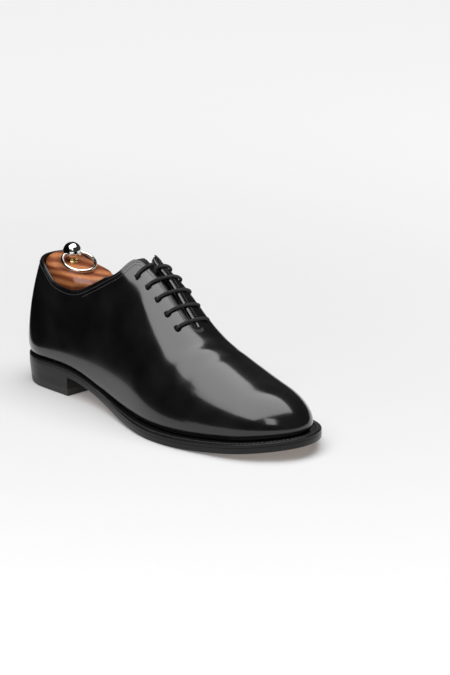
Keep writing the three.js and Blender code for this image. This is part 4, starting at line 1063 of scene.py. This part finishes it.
def outline(first, last, steps=LOOP_STEPS):
    """Each side's points of the widest line between two places, its outward normals and the sole's reach."""
    start, end = (math.acos(1 - 2 * x / LAST_LENGTH) for x in (first, last))
    turn = np.linspace(start, end, steps + 1)
    x = LAST_LENGTH * (1 - np.cos(turn)) / 2
    sides = {}
    for side in SIDES:
        y = centre_line(x) + side * half_width(side, x)
        fine = np.gradient(np.stack([x, y], -1), axis=0)
        fine /= np.linalg.norm(fine, axis=1, keepdims=True)
        normal = np.stack([-fine[:, 1], fine[:, 0]], -1) * side
        if first <= 0:
            normal[0] = (-1, 0)
        if last >= LAST_LENGTH:
            normal[-1] = (1, 0)
        sides[side] = (np.stack([x, y], -1), normal, sole_reach[side](x))
    return sides


def stack(first, last, rings):
    """A solid between rings of (inset, height function), each the outline drawn in, both faces closed."""
    sides = outline(first, last)
    count = LOOP_STEPS + 1
    points, faces = [], []
    for inset, height in rings:
        for side in SIDES:
            base, normal, reach = sides[side]
            flat = base + normal * (reach - inset)[:, None]
            if last < LAST_LENGTH:
                flat[-1, 0] = last - np.max(inset)
            for x, y in flat:
                points.append((x, y, float(height(x))))

    def quad(*corners):
        return [2 * ring * count + (0 if side == LATERAL else count) + n for ring, side, n in corners]

    for low in range(len(rings) - 1):
        high = low + 1
        for n in range(count - 1):
            for side in SIDES:
                wall = quad((low, side, n), (low, side, n + 1), (high, side, n + 1), (high, side, n))
                faces.append(wall if side == LATERAL else wall[::-1])
        if last < LAST_LENGTH:
            n = count - 1
            faces.append(quad((low, LATERAL, n), (low, MEDIAL, n), (high, MEDIAL, n), (high, LATERAL, n)))
    for ring in (0, len(rings) - 1):
        for n in range(count - 1):
            on = n + 1
            faces.append(quad((ring, LATERAL, n), (ring, MEDIAL, n), (ring, MEDIAL, on), (ring, LATERAL, on)))
    return merged(points, faces)


def merged(points, faces):
    joined = Skin()
    for face in faces:
        joined.face([joined.add(np.array(points[v])) for v in face])
    return joined.points, joined.faces


def edge_section(roll, under, top):
    """Rings of a burnished edge, rolled in below except over the heel, where it runs on into the lifts."""
    def rolled(x):
        return 0.02 + roll * np.clip((np.asarray(x) - HEEL_LENGTH) / 8, 0, 1)

    stations = outline(0, LAST_LENGTH)[LATERAL][0][:, 0]
    return [
        (rolled(stations) * (1 - math.sin(t)), lambda x, t=t: under(x) + rolled(x) * (1 - math.cos(t)))
        for t in np.linspace(0, math.pi / 2, 5)
    ] + [(0.0, top)]


def edge_material():
    material, shader, node, into = new_material("burnished_edge")
    place = node("ShaderNodeTexCoord").outputs["Object"]
    layers = node("ShaderNodeMapping", [(place, "Vector")])
    layers.inputs["Scale"].default_value = (1.0, 1.0, 7.0)
    fibre = node("ShaderNodeTexNoise", [(layers.outputs["Vector"], "Vector")], Scale=260.0, Detail=6.0)
    blacks = [(0.3, (0.005, 0.005, 0.006)), (0.75, (0.013, 0.012, 0.012))]
    into(ramp(node, fibre.outputs["Fac"], blacks), "Base Color")
    gloss = node("ShaderNodeMapRange", [(fibre.outputs["Fac"], "Value")], To_Min=0.24, To_Max=0.42)
    into(gloss.outputs["Result"], "Roughness")
    bumped(node, into, fibre.outputs["Fac"], 0.05, 0.0002)
    shader.inputs["Specular IOR Level"].default_value = 0.3
    return material


burnished = edge_material()
tan_leather = leather_material(
    "tan_sole_leather", (0.3, 0.17, 0.08), (0.5, 0.3, 0.15), roughness=0.5, grain=0.25, scale=700.0,
)


def band(name, first, last, thick, under, slot, node_name):
    """A strip round the outline with an open middle, from one place to another on both sides."""
    sides = outline(first, last)
    roll = 0.8
    section = [(0.0, 0.0)] + [
        (roll * (1 - math.sin(t)), thick - roll * (1 - math.cos(t)))
        for t in np.linspace(0, math.pi / 2, 5)[::-1]
    ]
    lateral, medial, steps = sides[LATERAL], sides[MEDIAL], range(LOOP_STEPS + 1)
    if first <= 0:
        order = [(lateral, n) for n in steps[::-1]] + [(medial, n) for n in steps[1:]]
    else:
        order = [(lateral, n) for n in steps] + [(medial, n) for n in steps[-2::-1]]
    points, faces = [], []
    for (base, normal, reach), n in order:
        for inset, height in section + [(None, thick), (None, 0)]:
            grow = -MARGIN_EDGE if inset is None else reach[n] - inset
            x, y = base[n] + normal[n] * grow
            points.append((x, y, float(under(x)) + height))
    width = len(section) + 2
    for n in range(len(order) - 1):
        for k in range(width):
            a, b = n * width + k, n * width + (k + 1) % width
            faces.append((a, b, b + width, a + width))
    faces.append(tuple(range(width)))
    faces.append(tuple(range((len(order) - 1) * width, len(order) * width)))
    made = merged(points, faces)
    piece = add_piece(name, *made, burnished, sharp=50)
    finish_piece(piece, "shoe", slot, node_name)


band("welt_strip", HEEL_LENGTH + CLEARANCE / 2, LAST_LENGTH, WELT_THICK, welt_under, "edge_leather", "welt")
band("heel_rand_strip", 0, HEEL_LENGTH - CLEARANCE / 2, WELT_THICK, welt_under, "edge_leather", "heel_rand")


INK_WIDTH = 4.0
UNDERSIDE_FACE = 12e-6  # square metres: a flat face below that is larger than this is left tan


def outsole_piece():
    rings = [(INK_WIDTH, sole_under)] + edge_section(1.1, sole_under, sole_top)
    points, faces = stack(0, LAST_LENGTH, rings)
    piece = add_piece("outsole_leather", points, faces, [burnished, tan_leather], sharp=60)
    low = [abs(v.co.z / MM - float(sole_under(v.co.x / MM + ORIGIN[0]))) < 0.02 for v in piece.data.vertices]
    for face in piece.data.polygons:
        if all(low[v] for v in face.vertices) and face.area > UNDERSIDE_FACE and face.normal.z < 0:
            face.material_index = 1
    finish_piece(piece, "shoe", "sole_leather", "outsole")


outsole_piece()


def welt_row():
    path = []
    sides = outline(100, LAST_LENGTH, 400)
    tip = LAST_LENGTH - 0.2
    for side, stations in ((LATERAL, np.linspace(112, tip, 220)), (MEDIAL, np.linspace(tip, 125, 220))):
        base, normal, reach = sides[side]
        for x in stations:
            spot = [np.interp(x, base[:, 0], base[:, k]) for k in (0, 1)]
            way = [np.interp(x, base[:, 0], normal[:, k]) for k in (0, 1)]
            out = np.interp(x, base[:, 0], reach) * 0.45
            at = np.array(spot) + np.array(way) * out
            path.append((*at, float(welt_under(at[0])) + WELT_THICK + 0.08))
    return [even_path(path, 1.2, 2)]


welt_thread = thread_material("welt_thread", (0.035, 0.034, 0.033), 0.5)
stitch_rows("welt_stitches", welt_row(), 3.1, 2.6, 0.42, welt_thread, "shoe", "edge_leather")

# ---------------------------------------------------------------- stacked heel
# Two leather lifts and a black rubber top piece, pegged through with five brass nails, trimmed so that
# the wall leans in towards the ground and burnished with the sole's edge.
TOP_PIECE_THICK = 6.0
HEEL_TAPER = 0.09
NAIL_COUNT = 5
LIFT_SEAM = 0.02
lift_split = TOP_PIECE_THICK + (HEEL_HEIGHT - TOP_PIECE_THICK) / 2


def heel_lift(name, node_name, low, high, material, slot, foot_roll, top=None):
    top = top or (lambda x: high + 0 * x)
    turns = np.linspace(0, math.pi / 2, 4)

    def lean(z):
        return HEEL_TAPER * (HEEL_HEIGHT - z)

    rings = [
        (lean(low) + foot_roll * (1 - math.sin(t)), lambda x, t=t: low + foot_roll * (1 - math.cos(t)))
        for t in turns
    ]
    rings += [(lean(high), lambda x: float(top(x)))]
    points, faces = stack(0, HEEL_LENGTH, rings)
    piece = add_piece(name, points, faces, material, sharp=50)
    finish_piece(piece, "shoe", slot, node_name)


def rubber_material():
    material, shader, node, into = new_material("heel_rubber")
    place = node("ShaderNodeTexCoord").outputs["Object"]
    speck = node("ShaderNodeTexNoise", [(place, "Vector")], Scale=1500.0, Detail=4.0)
    blacks = [(0.3, (0.012, 0.012, 0.012)), (0.75, (0.028, 0.028, 0.028))]
    into(ramp(node, speck.outputs["Fac"], blacks), "Base Color")
    shader.inputs["Roughness"].default_value = 0.5
    bumped(node, into, speck.outputs["Fac"], 0.25, 0.0002)
    return material


heel_lift("heel_top_rubber", "heel_top_piece", 0, TOP_PIECE_THICK, rubber_material(), "heel_rubber", 0.4)
heel_lift(
    "heel_lift_lower_leather", "heel_lift_lower", TOP_PIECE_THICK + LIFT_SEAM, lift_split,
    burnished, "edge_leather", 0.03,
)
heel_lift(
    "heel_lift_upper_leather", "heel_lift_upper", lift_split + LIFT_SEAM, HEEL_HEIGHT,
    burnished, "edge_leather", 0.03, lambda x: sole_under(x) - LIFT_SEAM,
)

# ---------------------------------------------------------------- cedar shoe tree, heel block
# Red cedar, turned and sanded: an oval block that fills the heel, flat on top with a broad rounded shoulder.
TREE_DEPTH = CAVITY_DEPTH + 1.7
INSOLE_THICK, SOCK_THICK = 2.5, 1.2
HEEL_BLOCK_END, HEEL_BLOCK_FRONT = 77.0, 10.0
TREE_SLOPE, KNOB_X = 0.26, 41.5
SHOULDER = 5.0
CORNER_SOFTNESS = 0.6
BLOCK_CENTRE = np.array([44.0, 0.0])
tree_top = float(feather(KNOB_X)) + ANKLE_HEIGHT + 15.3
tree_floor = float(feather(40)) + CAVITY_DEPTH + CLEARANCE + INSOLE_THICK + CLEARANCE + SOCK_THICK + 1.7


def inside_radius(height, turns):
    """How far the inside of the heel lies from the block's middle, in each direction, at one height."""
    edge = []
    for side in (LATERAL, MEDIAL):
        stations = np.linspace(92, 0, 120)
        for x in stations if side == LATERAL else stations[::-1]:
            angles = np.linspace(0.02, math.pi / 2, 240)
            line = last_point(side, x, angles)
            edge.append([np.interp(height, line[:, 2], line[:, k]) for k in (0, 1)])
    edge = np.array(edge)
    tangent = np.gradient(edge, axis=0)
    tangent /= np.maximum(np.linalg.norm(tangent, axis=1, keepdims=True), 1e-9)
    normal = np.stack([tangent[:, 1], -tangent[:, 0]], -1)
    normal *= np.sign(np.sum(normal * (edge - BLOCK_CENTRE), axis=1, keepdims=True))
    edge = edge - normal * (TREE_DEPTH + 0.8) - BLOCK_CENTRE
    polar = np.arctan2(edge[:, 1], edge[:, 0]) % (2 * math.pi)
    order = np.argsort(polar)
    return np.interp(turns, polar[order], np.linalg.norm(edge, axis=1)[order], period=2 * math.pi)


def heel_block():
    steps = 144
    turns = np.linspace(0, 2 * math.pi, steps, endpoint=False)
    ways = np.stack([np.cos(turns), np.sin(turns)], -1)
    bevel = 1 / math.sqrt(2)
    planes = [(np.array((1, 0)), HEEL_BLOCK_END)] + [
        (np.array((1, side)) * bevel, (HEEL_BLOCK_END + HEEL_BLOCK_FRONT) * bevel) for side in SIDES
    ]

    def radius(height):
        reach = inside_radius(height, turns)
        for normal, distance in planes:
            facing = ways @ normal
            to_plane = (distance - BLOCK_CENTRE @ normal) / np.maximum(facing, 0.05)
            flat = np.where(facing > 0.05, to_plane, 1e3)
            reach = (flat + reach - np.sqrt((flat - reach) ** 2 + CORNER_SOFTNESS**2)) / 2
        return reach

    levels = np.linspace(tree_floor, tree_top - SHOULDER, 16)
    rings = [(radius(z), np.full(steps, z)) for z in levels]
    top_radius = radius(tree_top - SHOULDER)
    low_roll = [(radius(tree_floor) - 1.5, np.full(steps, tree_floor))]
    for t in np.linspace(0, math.pi / 2, 8)[1:]:
        inset = SHOULDER * 1.5 * (1 - math.cos(t))
        rings.append((top_radius - inset, np.full(steps, tree_top - SHOULDER * (1 - math.sin(t)))))
    for share in (0.75, 0.5, 0.25):
        rings.append(((top_radius - SHOULDER * 1.5) * share, np.full(steps, tree_top)))
    rings = low_roll + rings
    points, faces = [], []
    for reach, height in rings:
        for way, r, z in zip(ways, reach, height):
            x, y = BLOCK_CENTRE + way * r
            lift = (z - tree_floor) / (tree_top - tree_floor)
            points.append((x, y, z - math.tan(TREE_SLOPE) * (x - KNOB_X) * lift**3))
    for ring in range(len(rings) - 1):
        for n in range(steps):
            a, b = ring * steps + n, ring * steps + (n + 1) % steps
            faces.append((a, b, b + steps, a + steps))
    faces.append(tuple(range(steps))[::-1])
    last = (len(rings) - 1) * steps
    crown = len(points)
    points.append((*BLOCK_CENTRE, tree_top - math.tan(TREE_SLOPE) * (BLOCK_CENTRE[0] - KNOB_X)))
    faces += [(last + n, last + (n + 1) % steps, crown) for n in range(steps)]
    return points, faces


def cedar_material():
    material, shader, node, into = new_material("red_cedar")
    place = node("ShaderNodeTexCoord").outputs["Object"]
    log = node("ShaderNodeMapping", [(place, "Vector")])
    log.inputs["Location"].default_value = (0.0, 0.02, -0.02)
    log.inputs["Scale"].default_value = (0.22, 1.0, 1.0)
    log.inputs["Rotation"].default_value = (0.0, 0.12, 0.1)
    along = [(log.outputs["Vector"], "Vector")]
    rings = node("ShaderNodeTexWave", along, Scale=55.0, Distortion=3.5, Detail=3.0)
    rings.wave_type = "RINGS"
    rings.rings_direction = "X"
    pores = node("ShaderNodeMapping", [(place, "Vector")])
    pores.inputs["Scale"].default_value = (0.06, 1.0, 1.0)
    streak = node("ShaderNodeTexNoise", [(pores.outputs["Vector"], "Vector")], Scale=900.0, Detail=5.0)
    tone = ramp(
        node, rings.outputs["Fac"],
        [(0.1, (0.20, 0.050, 0.016)), (0.5, (0.36, 0.11, 0.036)), (0.9, (0.50, 0.19, 0.07))],
    )
    mixed = node("ShaderNodeMix", data_type="RGBA", blend_type="MULTIPLY")
    mixed.inputs["Factor"].default_value = 0.45
    grain = ramp(node, streak.outputs["Fac"], [(0.35, (0.45, 0.38, 0.33)), (0.62, (1, 1, 1))])
    colours = [s for s in mixed.inputs if s.type == "RGBA"]
    material.node_tree.links.new(tone, colours[0])
    material.node_tree.links.new(grain, colours[1])
    into([s for s in mixed.outputs if s.type == "RGBA"][0], "Base Color")
    gloss = node("ShaderNodeMapRange", [(streak.outputs["Fac"], "Value")], To_Min=0.32, To_Max=0.5)
    into(gloss.outputs["Result"], "Roughness")
    bumped(node, into, streak.outputs["Fac"], 0.15, 0.0003)
    shader.inputs["Coat Weight"].default_value = 0.15
    shader.inputs["Coat Roughness"].default_value = 0.3
    return material


cedar = cedar_material()
block = add_piece("cedar_heel_block", *heel_block(), cedar, sharp=42)
finish_piece(block, "tree_heel", "cedar", "tree_heel_block")

# ---------------------------------------------------------------- knob and pull ring
# A turned knob, brass in its flange and neck and bright-plated on its ball, with a plated wire ring
# through the ball.
BALL_RADIUS, NECK_RADIUS, NECK_LENGTH, FLANGE_RADIUS, FLANGE_THICK = 7.5, 4.4, 4.2, 5.0, 1.2
RING_RADIUS, RING_WIRE, RING_LEAN, RING_AIM, EYE_DROP, EYE_SHARE = 13.4, 1.3, 0.405, -0.21, 1.15, 1.12
BALL_CUT = 0.5
knob_seat = tree_top - math.tan(TREE_SLOPE) * (FLANGE_RADIUS + CLEARANCE) + CLEARANCE
ball_height = FLANGE_THICK + NECK_LENGTH + BALL_RADIUS * math.sin(BALL_CUT)


def metal_material(name, colour, roughness, brushed=0.08):
    material, shader, node, into = new_material(name)
    place = node("ShaderNodeTexCoord").outputs["Object"]
    smear = node("ShaderNodeTexNoise", [(place, "Vector")], Scale=220.0, Detail=5.0)
    darker = tuple(v * 0.82 for v in colour)
    into(ramp(node, smear.outputs["Fac"], [(0.3, darker), (0.65, colour)]), "Base Color")
    duller = roughness + brushed
    gloss = node("ShaderNodeMapRange", [(smear.outputs["Fac"], "Value")], To_Min=roughness, To_Max=duller)
    into(gloss.outputs["Result"], "Roughness")
    bumped(node, into, smear.outputs["Fac"], 0.03, 0.0002)
    shader.inputs["Metallic"].default_value = 1.0
    return material


def lathe(profile, steps, centre):
    x, y, z = centre
    points, faces = [], []
    for radius, height in profile:
        for n in range(steps):
            turn = 2 * math.pi * n / steps
            points.append((x + radius * math.cos(turn), y + radius * math.sin(turn), z + height))
    for ring in range(len(profile) - 1):
        for n in range(steps):
            a, b = ring * steps + n, ring * steps + (n + 1) % steps
            faces.append((a, b, b + steps, a + steps))
    return merged(points, faces)


def knob_profile():
    under = FLANGE_THICK + NECK_LENGTH
    rolls = np.linspace(0, math.pi / 2, 5)
    profile = [(0, 0), (FLANGE_RADIUS - 0.15, 0), (FLANGE_RADIUS, 0.15)]
    profile += [
        (FLANGE_RADIUS - 0.35 * (1 - math.cos(t)), FLANGE_THICK - 0.35 * (1 - math.sin(t))) for t in rolls
    ]
    profile += [(NECK_RADIUS + 0.1, FLANGE_THICK + 0.15), (NECK_RADIUS - 0.25, FLANGE_THICK + 0.8)]
    profile += [(NECK_RADIUS - 0.3, under - 2.1), (NECK_RADIUS, under - 1.7)]
    profile += [
        (NECK_RADIUS + 0.6 * math.sin(t), under - 1.0 - 0.6 * math.cos(t))
        for t in np.linspace(0.2, math.pi - 0.2, 7)
    ]
    profile += [(NECK_RADIUS + 0.3, under - 0.1)]
    ball = [
        (BALL_RADIUS * math.cos(a), ball_height + BALL_RADIUS * math.sin(a))
        for a in np.linspace(-BALL_CUT, math.pi / 2, 26)
    ]
    return profile + [(ball[0][0] - 0.4, under)] + ball[:-1] + [(0, ball[-1][1])]


brass = metal_material("polished_brass", (0.86, 0.62, 0.27), 0.12)
plated = metal_material("bright_plate", (0.86, 0.85, 0.83), 0.05)
knob = add_piece("turned_knob", *lathe(knob_profile(), 72, (KNOB_X, 0, knob_seat)), [brass, plated], sharp=35)
ball_foot = (knob_seat + ball_height - BALL_RADIUS * math.sin(BALL_CUT) - 0.05) * MM
for face in knob.data.polygons:
    face.material_index = 1 if face.center.z > ball_foot else 0
finish_piece(knob, "tree_heel", "tree_brass", "tree_knob")


def swung(first, second, angle):
    """Two coordinates after a turn in their own plane."""
    cosine, sine = math.cos(angle), math.sin(angle)
    return first * cosine - second * sine, first * sine + second * cosine


def pull_ring():
    eye = np.array([KNOB_X, 0, knob_seat + ball_height - EYE_DROP])
    points = []
    round_steps, wire_steps = 120, 18
    for n in range(round_steps):
        turn = 2 * math.pi * n / round_steps
        for k in range(wire_steps):
            wire = 2 * math.pi * k / wire_steps
            reach = RING_RADIUS + RING_WIRE * math.cos(wire)
            x, y = reach * math.cos(turn) + RING_RADIUS - EYE_SHARE, reach * math.sin(turn)
            x, z = swung(x, RING_WIRE * math.sin(wire), -RING_LEAN)
            x, y = swung(x, y, RING_AIM)
            points.append(eye + (x, y, z))
    faces = []
    for n in range(round_steps):
        for k in range(wire_steps):
            here, ahead = n * wire_steps, (n + 1) % round_steps * wire_steps
            beside = (k + 1) % wire_steps
            faces.append((here + k, here + beside, ahead + beside, ahead + k))
    return points, faces


ring = add_piece("pull_ring_wire", *pull_ring(), metal_material("ring_plate", (0.87, 0.84, 0.77), 0.07))
finish_piece(ring, "pull_ring", "ring_metal", "tree_ring")

# ---------------------------------------------------------------- pieces inside the shoe
# Insole, rib, cork, shank, counter, puff and stays, and the tree's forepart: made plain, each in its
# own material.
board = leather_material("leather_board", (0.28, 0.19, 0.12), (0.45, 0.33, 0.22), 0.75, 0.3)
cork = leather_material("cork_paste", (0.25, 0.14, 0.07), (0.5, 0.32, 0.18), 0.85, 0.6, 400.0)
steel = metal_material("drawn_steel", (0.56, 0.57, 0.58), 0.25)
PLAIN_NODES = {
    "sock_liner": lining_leather,
    "insole": tan_leather, "insole_rib": tan_leather,
    "heel_counter": board, "toe_puff": board, "eyelet_stay_lateral": calf, "eyelet_stay_medial": calf,
    "cork_filler": cork,
    "shank": steel, "tree_rod_lateral": steel, "tree_rod_medial": steel,
    "tree_spring_lateral": steel, "tree_spring_medial": steel, "tree_toe_spring": steel,
    "tree_tube_lateral": brass, "tree_tube_medial": brass,
    "tree_pin_lateral": brass, "tree_pin_medial": brass,
    "tree_toe_lateral": cedar, "tree_toe_medial": cedar, "tree_instep_block": cedar,
}
PLAIN_NODES.update({f"heel_nail_{n + 1}": brass for n in range(NAIL_COUNT)})
for node_name, material in PLAIN_NODES.items():
    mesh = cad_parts[node_name].data
    mesh.materials.clear()
    mesh.materials.append(material)
